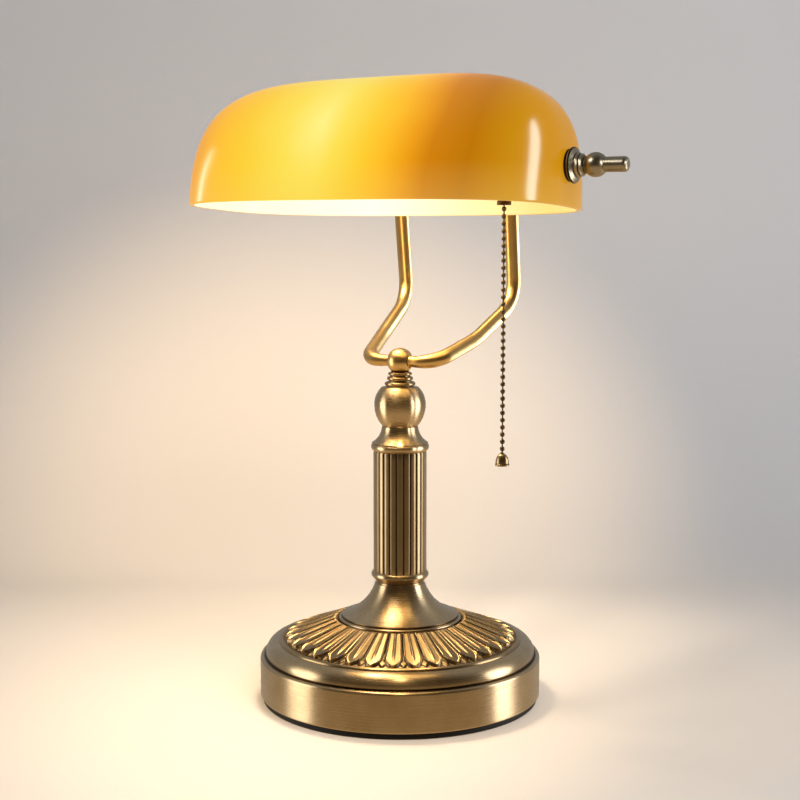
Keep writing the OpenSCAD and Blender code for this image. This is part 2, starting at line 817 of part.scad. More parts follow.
module switch_spring() {
    steps = spring_turns * 14;
    sides = 6;
    low = cavity_low + spring_wire_r + 0.05;
    high = spring_high - spring_wire_r;
    points = [for (i = [0:steps]) for (j = [0:sides - 1])
        let (a = 360 * spring_turns * i / steps, b = 360 * j / sides, r = spring_r + spring_wire_r * cos(b))
        [r * cos(a), r * sin(a), low + (high - low) * i / steps + spring_wire_r * sin(b)]];
    color(steel) at_chain() polyhedron(points, concat(
        [[for (j = [0:sides - 1]) j]],
        [[for (j = [sides - 1:-1:0]) steps * sides + j]],
        [for (i = [0:steps - 1]) for (j = [0:sides - 1]) let (n = (j + 1) % sides)
            [i * sides + j, (i + 1) * sides + j, i * sides + n]],
        [for (i = [0:steps - 1]) for (j = [0:sides - 1]) let (n = (j + 1) % sides)
            [i * sides + n, (i + 1) * sides + j, (i + 1) * sides + n]]
    ));
}

// Beads on one wire, hanging down from a height
module bead_run(top_bead) {
    bottom_bead = top_bead - (half_beads - 1) * bead_pitch;
    for (i = [0:half_beads - 1]) translate([0, 0, top_bead - i * bead_pitch]) sphere(r = bead_r, $fn = 24);
    translate([0, 0, bottom_bead]) cylinder(h = top_bead - bottom_bead, r = link_r, $fn = 16);
}

module chain_upper() {
    color(dark_brass) at_chain() {
        bead_run(first_bead);
        translate([0, 0, first_bead]) cylinder(h = chain_top - first_bead, r = link_r, $fn = 16);
        translate([0, 0, upper_end - bead_pitch + 0.7])
            cylinder(h = bead_pitch - 0.7, r = link_r, $fn = 16);
    }
}

module chain_lower() {
    mouth_r = 1.2;
    color(dark_brass) at_chain() difference() {
        bead_run(lower_first);
        translate([0, 0, lower_first + 0.3]) cylinder(h = bead_r, r = mouth_r);
    }
}

module chain_bell() {
    color(dark_brass) at_chain() translate([0, 0, bell_top - bell_h]) rotate_extrude() polygon([
        [0, 0], [3.6, 0], [4.4, 1.2], [4.3, 2.6], [3.2, 4.6], [2, 6], [2.1, 7],
        [1.5, bell_h + 0.15], [0, bell_h + 0.15]
    ]);
}

base_pad();
base_weight();
base_shell();
petal_ring();
pedestal_cone();
lower_collar();
reeded_column();
upper_collar();
knop();
neck_ring_lower();
neck_ring_upper();
ball_seat();
tie_rod();
rod_washer();
rod_nut();
cord_bushing();
base_wire();
pivot_ball();
friction_screw();
pivot_nipple();
left_arm();
right_arm();
arm_wire();
left_grommet();
right_grommet();
left_tee();
right_tee();
tee_screws();
crossbar();
inner_nuts();
inner_washers();
outer_washers();
left_cap_nut();
clamp_flange();
clamp_knob();
shade();
socket_bracket();
socket_cap();
socket_shell();
socket_liner();
screw_shell();
centre_contact();
bulb_glass();
bulb_cap();
bulb_insulator();
bulb_contact();
filament_mount();
switch_housing();
chain_guide();
switch_plunger();
switch_spring();
chain_upper();
chain_lower();
chain_bell();
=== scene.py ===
"""The looks of a banker desk lamp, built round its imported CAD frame.

Lengths in the shape functions are millimetres. Lights, the camera and the stage are in metres.
"""

import json
import math

import bmesh
import bpy
import numpy as np
from mathutils import Matrix, Vector


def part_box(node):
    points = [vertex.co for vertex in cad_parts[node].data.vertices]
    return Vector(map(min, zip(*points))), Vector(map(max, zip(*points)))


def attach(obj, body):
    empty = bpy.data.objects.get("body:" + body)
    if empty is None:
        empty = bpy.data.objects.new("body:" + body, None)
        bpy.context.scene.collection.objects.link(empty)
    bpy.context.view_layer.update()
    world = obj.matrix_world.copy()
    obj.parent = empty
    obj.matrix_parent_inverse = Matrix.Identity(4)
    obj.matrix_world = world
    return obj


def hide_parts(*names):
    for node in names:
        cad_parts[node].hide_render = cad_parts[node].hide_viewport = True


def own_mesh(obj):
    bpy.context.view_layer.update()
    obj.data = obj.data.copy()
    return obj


MM = 0.001

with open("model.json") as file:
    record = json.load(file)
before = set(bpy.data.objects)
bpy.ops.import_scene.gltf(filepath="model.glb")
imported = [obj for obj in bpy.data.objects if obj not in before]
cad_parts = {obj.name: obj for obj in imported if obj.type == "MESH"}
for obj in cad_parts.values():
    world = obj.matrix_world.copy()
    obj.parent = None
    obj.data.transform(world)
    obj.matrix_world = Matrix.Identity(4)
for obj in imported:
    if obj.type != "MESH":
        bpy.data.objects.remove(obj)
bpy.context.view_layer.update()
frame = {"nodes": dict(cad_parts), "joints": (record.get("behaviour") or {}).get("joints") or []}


# ---- Places, read from the frame ----


def node_box(node):
    """Lowest and highest corners of a CAD node, in millimetres."""
    low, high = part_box(node)
    return np.array(low) / MM, np.array(high) / MM


def joint_place(name):
    """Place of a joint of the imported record, in millimetres."""
    joint = next(j for j in frame["joints"] if j["name"] == name)
    return np.array(joint["pos_m"], float) / MM


BALL = joint_place("lamp_tilt")
HOUSING_LOW, HOUSING_HIGH = node_box("switch_housing")
BAR_LOW, BAR_HIGH = node_box("crossbar")
BAR_Y = (BAR_LOW[1] + BAR_HIGH[1]) / 2
BAR_Z = (BAR_LOW[2] + BAR_HIGH[2]) / 2
# The head is tipped by this angle, front edge up, and its crossbar is this far above the glass rim.
LEAN = math.radians(3.7)
BAR_OVER_RIM = 23.1
BULB_AXIS = joint_place("bulb_unscrew")


def leaned(points):
    """Points of the head's own frame, which leans about the crossbar, in the lamp's frame."""
    p = np.asarray(points, float)
    y = BAR_Y + p[..., 1] * math.cos(LEAN) + p[..., 2] * math.sin(LEAN)
    z = BAR_Z - p[..., 1] * math.sin(LEAN) + p[..., 2] * math.cos(LEAN)
    return np.stack([p[..., 0], y, z], axis=-1)


# ---- Camera ----

# The photograph looks along this direction, from the lamp's right of its front.
VIEW_AZIMUTH = math.radians(30)


def make_camera():
    """The photograph's view: azimuth 30 degrees, a little above the lamp's middle."""
    distance, height, pitch = 0.955, 0.2997, 6.386
    data = bpy.data.cameras.new("camera")
    data.lens, data.sensor_width = 68.0, 36.0
    data.clip_start, data.clip_end = 0.05, 20
    camera = bpy.data.objects.new("camera", data)
    camera.location = (distance * math.sin(VIEW_AZIMUTH), -distance * math.cos(VIEW_AZIMUTH), height)
    camera.rotation_euler = (math.radians(90 - pitch), 0, VIEW_AZIMUTH)
    bpy.context.scene.collection.objects.link(camera)
    bpy.context.scene.camera = camera


make_camera()


# ---- Profiles and meshes ----


def arc(cx, cz, r, a0, a1, n=12):
    """Points of an arc in a profile, from angle a0 to a1 in degrees."""
    turns = np.radians(np.linspace(a0, a1, n + 1))
    return [(cx + r * math.cos(t), cz + r * math.sin(t)) for t in turns]


def fine(profile, step=0.6, close=False):
    """The profile with points no further apart than step, where its own corners stay."""
    points = [np.array(p, float) for p in profile]
    ends = points[1:] + (points[:1] if close else [])
    out = []
    for a, b in zip(points, ends):
        n = max(1, int(math.ceil(np.linalg.norm(b - a) / step)))
        out += [a + (b - a) * i / n for i in range(n)]
    return np.array(out if close else out + [points[-1]])


def hollowness(outline, reach, depth):
    """How far each point of a closed outline lies in a hollow, from 0 to 1.

    The outline runs anticlockwise."""
    n = len(outline)
    steps = np.linalg.norm(np.roll(outline, -1, 0) - outline, axis=1)
    along = np.concatenate([[0], np.cumsum(steps)])
    total = along[-1]
    closed = np.vstack([outline, outline[:1]])
    place = along[:n]
    side = []
    for shift in (-reach, reach):
        at = (place + shift) % total
        side.append(np.stack([np.interp(at, along, closed[:, k]) for k in (0, 1)], 1))
    middle = (side[0] + side[1]) / 2
    run = side[1] - side[0]
    out = np.stack([run[:, 1], -run[:, 0]], 1)
    out /= np.maximum(np.linalg.norm(out, axis=1, keepdims=True), 1e-9)
    return np.clip(((middle - outline) * out).sum(1) / depth, 0, 1)


def finish_mesh(name, points, faces, patina=None, sharp=35):
    """A mesh from points in millimetres, smooth but for edges sharper than an angle."""
    mesh = bpy.data.meshes.new(name)
    mesh.from_pydata([tuple(p) for p in np.asarray(points) * MM], [], faces)
    mesh.validate()
    # Darkening in hollows, old oxide and painted shade, kept as a point attribute.
    if patina is not None:
        layer = mesh.attributes.new("patina", "FLOAT", "POINT")
        layer.data.foreach_set("value", np.asarray(patina, np.float32))
    mesh.shade_smooth()
    mesh.set_sharp_from_angle(angle=math.radians(sharp))
    return mesh


def make_piece(name, mesh, body, material, slot, *nodes):
    """A visible piece that rides on a CAD body and stands for CAD nodes."""
    piece = bpy.data.objects.new(name, mesh)
    bpy.context.scene.collection.objects.link(piece)
    if material is not None:
        mesh.materials.append(material)
    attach(piece, body)
    if nodes:
        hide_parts(*nodes)
    return piece


def ring_faces(rows, columns, close_rows):
    """Quads of a grid of points, row by row. Each row is a closed ring."""
    faces = []
    for i in range(rows if close_rows else rows - 1):
        j = (i + 1) % rows
        for k in range(columns):
            m = (k + 1) % columns
            faces.append((i * columns + k, i * columns + m, j * columns + m, j * columns + k))
    return faces


def turned(name, outline, turns=160, at=(0, 0, 0), axis="z", reach=2.0, depth=0.45, step=0.6):
    """A closed outline of (radius, distance) points turned about an axis.

    The outline runs anticlockwise and stays off the axis."""
    outline = fine(outline, step, close=True)
    # How deep each point lies in a hollow sets its darkening: old oxide and painted shade.
    patina = hollowness(outline, reach, depth)
    angle = np.linspace(0, 2 * math.pi, turns, endpoint=False)
    r, z = outline[:, :1], outline[:, 1:]
    x, y = r * np.cos(angle), r * np.sin(angle)
    grid = np.stack([x, y, np.broadcast_to(z, x.shape)], -1)
    if axis == "x":
        grid = grid[..., [2, 0, 1]]
    points = grid.reshape(-1, 3) + np.array(at)
    return finish_mesh(name, points, ring_faces(len(outline), turns, True), np.repeat(patina, turns))


def unit(v):
    """The vector at length 1."""
    return v / np.linalg.norm(v)


def rounded_corner(a, b, c, bend, n):
    """Points of a bend of a given radius, where a path turns at b."""
    d1, d2 = unit(b - a), unit(c - b)
    angle = math.acos(float(d1 @ d2))
    inward = unit(d2 - d1 * math.cos(angle))
    centre = b - d1 * bend * math.tan(angle / 2) + inward * bend
    turns = np.linspace(0, angle, n + 1)
    return [centre - inward * bend * math.cos(t) + d1 * bend * math.sin(t) for t in turns]


def bent_path(corners, bends, n=18):
    """Points of a path through corners, with a bend radius for each corner but the ends."""
    corners = [np.array(c, float) for c in corners]
    path = [corners[0]]
    for i, bend in enumerate(bends):
        path += rounded_corner(corners[i], corners[i + 1], corners[i + 2], bend, n)
    return np.array(path + [corners[-1]])


def swept(name, path, radii, sides=40):
    """A round rod along a path, with a radius for each of its points and closed ends."""
    ahead = np.diff(path, axis=0)
    ahead /= np.linalg.norm(ahead, axis=1, keepdims=True)
    dirs = np.vstack([ahead[:1], ahead[:-1] + ahead[1:], ahead[-1:]])
    dirs /= np.linalg.norm(dirs, axis=1, keepdims=True)
    side = np.array([0.0, 0.0, 1.0])
    angle = np.linspace(0, 2 * math.pi, sides, endpoint=False)
    rows = []
    for p, d, r in zip(path, dirs, radii):
        side = unit(side - d * (side @ d))
        other = np.cross(d, side)
        rows.append(p + r * (np.outer(np.cos(angle), side) + np.outer(np.sin(angle), other)))
    faces = ring_faces(len(path), sides, False)
    last = (len(path) - 1) * sides
    faces += [tuple(range(sides - 1, -1, -1)), tuple(range(last, last + sides))]
    points = np.vstack(rows)
    return finish_mesh(name, points, faces, np.zeros(len(points)))


# ---- Materials ----


class Nodes:
    """Short calls for building the node tree of a material, or of the world."""

    def __init__(self, name, kind=bpy.data.materials):
        self.owner = kind.new(name)
        self.owner.use_nodes = True
        self.tree = self.owner.node_tree
        self.shader = self.tree.nodes.get("Principled BSDF")

    def add(self, kind, **values):
        node = self.tree.nodes.new(kind)
        for key, value in values.items():
            setattr(node, key, value)
        return node

    def wire(self, value, socket):
        if isinstance(value, bpy.types.NodeSocket):
            self.tree.links.new(value, socket)
        else:
            socket.default_value = value

    def math(self, operation, a, b=0.0, c=0.0, clamp=False):
        node = self.add("ShaderNodeMath", operation=operation, use_clamp=clamp)
        for value, socket in zip((a, b, c), node.inputs):
            self.wire(value, socket)
        return node.outputs[0]

    def vector(self, operation, a, b=(0, 0, 0), out=0):
        node = self.add("ShaderNodeVectorMath", operation=operation)
        self.wire(a, node.inputs[0])
        self.wire(b, node.inputs[1])
        return node.outputs[out]

    def place(self):
        return self.add("ShaderNodeTexCoord").outputs["Object"]

    def split(self, vector):
        node = self.add("ShaderNodeSeparateXYZ")
        self.wire(vector, node.inputs[0])
        return node.outputs

    def join(self, x, y, z):
        node = self.add("ShaderNodeCombineXYZ")
        for value, socket in zip((x, y, z), node.inputs):
            self.wire(value, socket)
        return node.outputs[0]

    def noise(self, vector, scale, detail=3.0, rough=0.55, w=None):
        node = self.add("ShaderNodeTexNoise", noise_dimensions="3D" if w is None else "4D")
        self.wire(vector, node.inputs["Vector"])
        if w is not None:
            self.wire(w, node.inputs["W"])
        node.inputs["Scale"].default_value = scale
        node.inputs["Detail"].default_value = detail
        node.inputs["Roughness"].default_value = rough
        return node.outputs["Fac"]

    def spread(self, value, low, high, out_low=0.0, out_high=1.0, ease="LINEAR"):
        node = self.add("ShaderNodeMapRange", interpolation_type=ease)
        keys = ("Value", "From Min", "From Max", "To Min", "To Max")
        for v, key in zip((value, low, high, out_low, out_high), keys):
            self.wire(v, node.inputs[key])
        return node.outputs[0]

    def mix(self, share, a, b):
        node = self.add("ShaderNodeMix", data_type="RGBA")
        self.wire(share, node.inputs["Factor"])
        self.wire(a, node.inputs["A"])
        self.wire(b, node.inputs["B"])
        return node.outputs["Result"]

    def ramp(self, value, *stops):
        node = self.add("ShaderNodeValToRGB")
        elements = node.color_ramp.elements
        while len(elements) < len(stops):
            elements.new(0.5)
        for element, (place, colour) in zip(elements, stops):
            element.position, element.color = place, (*colour, 1)
        self.wire(value, node.inputs["Fac"])
        return node.outputs["Color"]

    def bump(self, height, distance, strength=1.0, under=None):
        node = self.add("ShaderNodeBump")
        node.inputs["Strength"].default_value = strength
        node.inputs["Distance"].default_value = distance
        self.wire(height, node.inputs["Height"])
        if under is not None:
            self.wire(under, node.inputs["Normal"])
        return node.outputs[0]

    def set(self, **values):
        for key, value in values.items():
            self.wire(value, self.shader.inputs[key.replace("_", " ")])
        return self.owner

    # Darkening in hollows, old oxide and painted shade, read from the mesh.
    def patina(self):
        return self.add("ShaderNodeAttribute", attribute_name="patina").outputs["Fac"]


def rgb(r, g, b):
    """A colour from display values of 0 to 255."""
    linear = [c / 255 / 12.92 if c <= 10 else ((c / 255 + 0.055) / 1.055) ** 2.4 for c in (r, g, b)]
    return (*linear, 1.0)


def lathe_streaks(n, scale_round=1.2, scale_along=1500.0):
    """Fine lines round the Z axis, as a polishing wheel leaves on a turned piece."""
    x, y, z = n.split(n.place())
    radius = n.math("SQRT", n.math("ADD", n.math("MULTIPLY", x, x), n.math("MULTIPLY", y, y)))
    safe = n.math("MAXIMUM", radius, 0.0005)
    around = n.join(
        n.math("MULTIPLY", n.math("DIVIDE", x, safe), scale_round),
        n.math("MULTIPLY", n.math("DIVIDE", y, safe), scale_round),
        n.math("MULTIPLY", z, scale_along),
    )
    return n.noise(around, 1.0, 2.0, 0.6, w=n.math("MULTIPLY", radius, scale_along))


def brass_material(name, streaks, light, mid, dark, rough=0.28, stretch=0.85):
    """Antique brass: brushed metal, darker and rougher in its hollows from old oxide and from painted
    shade, with a faint mottling.
    """
    n = Nodes(name)
    mottling = n.noise(n.place(), 38.0, 4.0, 0.6)
    patina = n.patina()
    lines = streaks(n)
    clean = n.mix(n.spread(mottling, 0.3, 0.75), mid, light)
    clean = n.mix(n.math("MULTIPLY", n.spread(lines, 0.35, 0.75), 0.4), clean, mid)
    # Hollows darker and rougher: old oxide, and painted shade where shade falls.
    worn_and_shaded = n.math("ADD", patina, n.math("MULTIPLY", n.math("SUBTRACT", mottling, 0.5), 0.12), clamp=True)
    tarnish_and_shade = n.spread(worn_and_shaded, 0.12, 0.8)
    colour = n.mix(tarnish_and_shade, clean, dark)
    rough_lines = n.spread(lines, 0.3, 0.7, rough - 0.03, rough + 0.04)
    roughness = n.math("ADD", rough_lines, n.math("MULTIPLY", tarnish_and_shade, 0.2))
    normal = n.bump(lines, 0.000005, 0.4, n.bump(mottling, 0.00010, 0.08))
    n.set(Base_Color=colour, Metallic=1.0, Roughness=roughness, Normal=normal, Anisotropic=stretch)
    if stretch:
        tangent = n.add("ShaderNodeTangent", direction_type="RADIAL", axis="Z")
        n.wire(tangent.outputs[0], n.shader.inputs["Tangent"])
        n.set(Anisotropic_Rotation=0.25)
    return n.owner


def tube_streaks(n):
    """Fine grain with no direction."""
    return n.noise(n.vector("MULTIPLY", n.place(), (500, 500, 500)), 1.0, 3.0, 0.6)


def upright_streaks(n):
    """Fine lines along the Z axis."""
    return n.noise(n.vector("MULTIPLY", n.place(), (1500, 1500, 12)), 1.0, 2.0, 0.5)


def metal_material(name, colour, dark, rough, scale=60.0):
    """Plain bright metal with a faint clouding."""
    n = Nodes(name)
    cloud = n.noise(n.place(), scale, 4.0, 0.6)
    n.set(
        Base_Color=n.mix(n.spread(cloud, 0.35, 0.7), colour, dark),
        Metallic=1.0,
        Roughness=n.spread(cloud, 0.3, 0.7, rough - 0.06, rough + 0.08),
        Normal=n.bump(cloud, 0.00005, 0.25),
    )
    return n.owner


def rubber_material(name, colour, rough=0.62):
    """Matte rubber or plastic with a fine grain."""
    n = Nodes(name)
    grain = n.noise(n.place(), 900.0, 3.0, 0.6)
    lighter = tuple(min(1, c * 1.8 + 0.01) for c in colour[:3]) + (1.0,)
    n.set(
        Base_Color=n.mix(n.spread(grain, 0.4, 0.8), colour, lighter),
        Roughness=n.spread(grain, 0.3, 0.7, rough - 0.08, rough + 0.1),
        Specular_IOR_Level=0.25,
        Normal=n.bump(grain, 0.00005, 0.3),
    )
    return n.owner


def iron_material(name):
    """Rough cast iron."""
    n = Nodes(name)
    grain = n.noise(n.place(), 420.0, 5.0, 0.65)
    n.set(
        Base_Color=n.mix(grain, rgb(38, 37, 36), rgb(82, 79, 75)),
        Metallic=0.7,
        Roughness=n.spread(grain, 0.2, 0.8, 0.55, 0.8),
        Normal=n.bump(grain, 0.0003, 0.6),
    )
    return n.owner


def head_place(n):
    """A point of the head in its own upright frame, in millimetres, measured from the rim's middle."""
    x, y, z = n.split(n.place())
    y = n.math("MULTIPLY_ADD", y, 1 / MM, -BAR_Y)
    z = n.math("MULTIPLY_ADD", z, 1 / MM, -BAR_Z)
    cos, sin = math.cos(LEAN), math.sin(LEAN)
    along = n.math("SUBTRACT", n.math("MULTIPLY", y, cos), n.math("MULTIPLY", z, sin))
    up = n.math("ADD", n.math("MULTIPLY", y, sin), n.math("MULTIPLY", z, cos))
    return n.math("MULTIPLY", x, 1 / MM), along, n.math("ADD", up, BAR_OVER_RIM)


def painted_glow_distance(n, middle=-11.0, left=0.62, right=1.0, level=45.0, tall=0.45):
    """Distance from the brightest place of the painted bulb light on the glass, where the left side counts
    for less.
    """
    x, z = head_place(n)[::2]
    offset = n.math("SUBTRACT", x, middle)
    to_right = n.math("MULTIPLY", n.math("MAXIMUM", offset, 0.0), right)
    dx = n.math("ADD", to_right, n.math("MULTIPLY", n.math("MINIMUM", offset, 0.0), left))
    dz = n.math("MULTIPLY", n.math("SUBTRACT", z, level), tall)
    return n.math("SQRT", n.math("ADD", n.math("MULTIPLY", dx, dx), n.math("MULTIPLY", dz, dz)))


def glass_outside_material():
    """Glossy amber glass over white, with the bulb's light through it painted on as emission, brightest
    where the bulb is near.
    """
    n = Nodes("amber_glass")
    cloud = n.noise(n.place(), 16.0, 3.0, 0.5)
    distance = n.math("ADD", painted_glow_distance(n), n.spread(cloud, 0.3, 0.7, -2.5, 2.5))
    # Painted bulb light: the glass shines brightest near the bulb and fades away from it.
    painted_glow = n.ramp(
        n.math("DIVIDE", distance, 120.0),
        (0.0, (1.0, 0.90, 0.24)),
        (0.13, (0.98, 0.76, 0.085)),
        (0.28, (0.98, 0.63, 0.030)),
        (0.42, (1.0, 0.51, 0.016)),
        (0.55, (0.86, 0.345, 0.006)),
        (0.66, (0.62, 0.21, 0.003)),
        (0.83, (0.48, 0.165, 0.001)),
        (1.0, (0.53, 0.235, 0.003)),
    )
    # Painted light from inside, a little brighter near the rim.
    painted_rim_light = n.spread(head_place(n)[2], 22.0, 0.0)
    painted_glow = n.mix(n.math("MULTIPLY", painted_rim_light, 0.16), painted_glow, (1.0, 0.72, 0.20, 1.0))
    n.set(
        Base_Color=n.mix(cloud, rgb(70, 40, 3), rgb(78, 45, 4)),
        Roughness=0.2,
        Specular_IOR_Level=0.1,
        Coat_Weight=0.5,
        Coat_Roughness=0.2,
        Emission_Color=painted_glow,
        Emission_Strength=1.0,
    )
    return n.owner


def glass_inside_material():
    """White opal lining, with the bulb's light on it painted on as emission, stronger deep inside the
    shade.
    """
    n = Nodes("opal_lining")
    x = head_place(n)[0]
    painted_glow = n.ramp(
        n.spread(x, -130.0, 130.0),
        (0.0, (1.0, 0.90, 0.62)),
        (0.35, (1.1, 1.0, 0.78)),
        (0.6, (1.0, 0.85, 0.44)),
        (0.85, (0.9, 0.62, 0.18)),
        (1.0, (0.85, 0.58, 0.17)),
    )
    # Painted bulb light, stronger further up inside the shade.
    deep = n.spread(head_place(n)[2], 18.0, 40.0)
    n.set(
        Base_Color=rgb(120, 104, 76),
        Roughness=0.35,
        Emission_Color=n.mix(deep, painted_glow, rgb(255, 226, 168)),
        Emission_Strength=n.math("ADD", 1.0, n.math("MULTIPLY", deep, 1.7)),
    )
    return n.owner


def bulb_material():
    """Frosted glass of the lit bulb, brightest away from its cap."""
    n = Nodes("lit_bulb")
    x = n.split(n.place())[0]
    lit = n.spread(x, 0.018, -0.010, 0.15, 1.0)
    n.set(
        Base_Color=rgb(250, 246, 236),
        Roughness=0.35,
        Emission_Color=n.mix(lit, rgb(255, 190, 110), rgb(255, 216, 160)),
        Emission_Strength=n.math("MULTIPLY", lit, 24.0),
    )
    return n.owner


def stage_material(name, colour, rough=0.85):
    """Matte paper that can be seen through from its back."""
    n = Nodes(name)
    n.set(Base_Color=colour, Roughness=rough)
    clear = n.add("ShaderNodeBsdfTransparent")
    mix = n.add("ShaderNodeMixShader")
    n.wire(n.add("ShaderNodeNewGeometry").outputs["Backfacing"], mix.inputs[0])
    n.wire(n.shader.outputs[0], mix.inputs[1])
    n.wire(clear.outputs[0], mix.inputs[2])
    n.wire(mix.outputs[0], n.tree.nodes["Material Output"].inputs["Surface"])
    return n.owner


BRASS = brass_material(
    "antique_brass", lathe_streaks, rgb(210, 187, 150), rgb(182, 158, 120), rgb(62, 44, 22)
)
# A darker copy of the antique brass that paints shade on the petals, the neck rings and the seat.
SHADE_DARKENED_BRASS = brass_material(
    "petal_brass", lathe_streaks, rgb(186, 162, 122), rgb(158, 134, 96), rgb(38, 26, 13)
)
# Brass with no lines, more golden than the antique brass: its own colour, with the gold partly painting
# the bulb's warm light on the arms, the ball and the fittings.
TUBE_BRASS = brass_material(
    "tube_brass", tube_streaks, rgb(232, 196, 132), rgb(214, 176, 112), rgb(78, 52, 24), 0.30, 0.0
)
# Brass with upright lines, darker than the antique brass to paint shade on the column; the chain's bell
# uses it too.
REED_BRASS = brass_material(
    "reed_brass", upright_streaks, rgb(180, 157, 121), rgb(160, 136, 100), rgb(40, 27, 14), 0.30, 0.0
)
CHAIN_BRASS = brass_material(
    "chain_brass", tube_streaks, rgb(120, 104, 78), rgb(88, 72, 50), rgb(30, 24, 16), 0.28, 0.0
)
DARK_BRASS = brass_material(
    "dark_brass", upright_streaks, rgb(172, 164, 146), rgb(146, 136, 116), rgb(36, 30, 22), 0.30, 0.0
)
SHADED_BRASS = brass_material(
    "shaded_brass", tube_streaks, rgb(84, 60, 36), rgb(66, 46, 26), rgb(24, 16, 8), 0.36, 0.0
)
STEEL = metal_material("zinc_steel", rgb(196, 196, 192), rgb(160, 160, 156), 0.3)
RUBBER = rubber_material("black_rubber", rgb(13, 12, 12))
PLASTIC = rubber_material("black_plastic", rgb(22, 22, 22), 0.42)
IRON = iron_material("cast_iron")
AMBER = glass_outside_material()
OPAL = glass_inside_material()
LIT_BULB = bulb_material()


# ---- Base and stem ----


def make_pad():
    """The rubber pad under the base."""
    low, high = node_box("base_pad")
    r = high[0]
    outline = [(2, low[2])] + arc(r - 1, low[2] + 1, 1, -90, 0, 5)
    outline += arc(r - 0.6, high[2] - 0.6, 0.6, 0, 90, 4) + [(2, high[2])]
    mesh = turned("pad", outline, 192, step=3)
    make_piece("pad", mesh, "base", RUBBER, "black_rubber", "base_pad")


def make_drum():
    """The base's spun shell: a straight wall with a tight shoulder, a crease and a full roll."""
    low, high = node_box("base_shell")
    r, z0 = high[0], low[2]
    shoulder = z0 + 25.2
    roll_x, roll_z, roll_r = r - 11.2, z0 + 26.9, 7.6
    outline = [(r - 2.2, z0), (r - 0.8, z0)] + arc(r - 0.7, z0 + 0.8, 0.7, -60, 0, 4)
    outline += arc(r - 1.7, shoulder - 1.7, 1.7, 0, 78, 10)
    outline += [(r - 3.0, shoulder - 0.1), (r - 3.5, shoulder + 0.15)]
    outline += arc(roll_x, roll_z, roll_r, -6, 100, 28)
    outline += [(r - 13.6, roll_z + 7.0), (r - 15, roll_z + 6.4), (r - 17, roll_z + 6)]
    outline += [(r - 17, roll_z + 3), (r - 9, roll_z - 2), (r - 2.2, shoulder - 4)]
    mesh = turned("drum", outline, 224, reach=1.2, depth=0.40, step=0.7)
    make_piece("drum", mesh, "base", BRASS, "antique_brass", "base_shell")


def petal_height(across, along):
    """Height of the petals' face over their bed, in millimetres, and how much old oxide and painted shade
    darken its hollows.

    across is from -1 to 1 over one petal's share of the ring, along from 0 inside to 1 at the tips."""
    u = np.abs(across)
    tip = np.clip((along - 0.74) / 0.26, 0, 1)
    half = 0.97 * (1 - tip**1.7) ** 0.8
    inside = half - u
    rise = np.clip(inside / 0.05, 0, 1)
    rise = rise * rise * (3 - 2 * rise)
    edge = np.exp(-(((inside - 0.10) / 0.075) ** 2))
    rib = np.exp(-((u / 0.11) ** 2)) * np.clip((0.84 - along) / 0.25, 0, 1)
    face = 1.15 + 0.75 * edge + 0.62 * rib + 0.55 * along**4
    height = rise * face * np.clip(along / 0.04, 0.35, 1)
    second_tip = np.clip((along - 0.84) / 0.14, 0, 1)
    tooth = np.clip((0.55 * (1 - second_tip) - (1 - u)) / 0.08, 0, 1) * (along > 0.6) * (along < 0.985)
    height = np.maximum(height, 0.75 * tooth)
    # Low places between and along the petals darken: old oxide and painted shade.
    hollow = 1 - np.clip((height - 0.3) / 1.5, 0, 1)
    hollow = hollow * (1 - 0.45 * np.clip((along - 0.8) / 0.1, 0, 1) * (height < 0.9))
    return height, hollow


def make_petals():
    """The ring of petals, with their tips over a rounded rim."""
    high = node_box("petal_ring")[1]
    count, per_petal = 34, 40
    outer, top = high[0], high[2]
    bead_top = top - 13.1
    inner_r, tip_r = 40.2, outer - 4.2
    rows = 52
    along = np.linspace(0, 1, rows)
    across = (np.arange(count * per_petal) % per_petal) / per_petal * 2 - 1
    height, hollow = petal_height(across[None, :], along[:, None])
    r = inner_r + (tip_r - inner_r) * along[:, None]
    bed_in, bed_out = top - 1.6, bead_top - 1.1
    bed = bed_in + (bed_out - bed_in) * along[:, None]
    slope = math.atan((bed_in - bed_out) / (tip_r - inner_r))
    radius = r + height * math.sin(slope)
    z = bed + height * math.cos(slope)
    angle = np.arange(count * per_petal) / (count * per_petal) * 2 * math.pi - math.pi / 2
    rim = [(tip_r + 0.5, bed_out - 0.15)] + arc(outer - 1.7, bead_top - 1.7, 1.7, 150, -20, 14)
    rim += [(outer - 0.3, bead_top - 3.2), (outer - 3, bead_top - 4)]
    rim = np.array(rim + [(inner_r - 0.4, top - 5), (inner_r - 0.4, bed_in)])
    # Darkening of the rim's edge and the ring's underside: old oxide and painted shade.
    rim_oxide_and_shade = np.array([0.3, 0.2] + [0.0] * 12 + [0.5] * (len(rim) - 14))
    ones = np.ones((1, len(angle)))
    radius = np.vstack([radius, rim[:, :1] * ones])
    z = np.vstack([z, rim[:, 1:] * ones])
    patina = np.vstack([hollow * 0.9, rim_oxide_and_shade[:, None] * ones])
    points = np.stack([radius * np.cos(angle), radius * np.sin(angle), z], -1)
    faces = ring_faces(len(points), len(angle), True)
    faces = [f[::-1] for f in faces]
    mesh = finish_mesh("petals", points.reshape(-1, 3), faces, patina.ravel(), 60)
    make_piece("petals", mesh, "base", SHADE_DARKENED_BRASS, "antique_brass", "petal_ring")


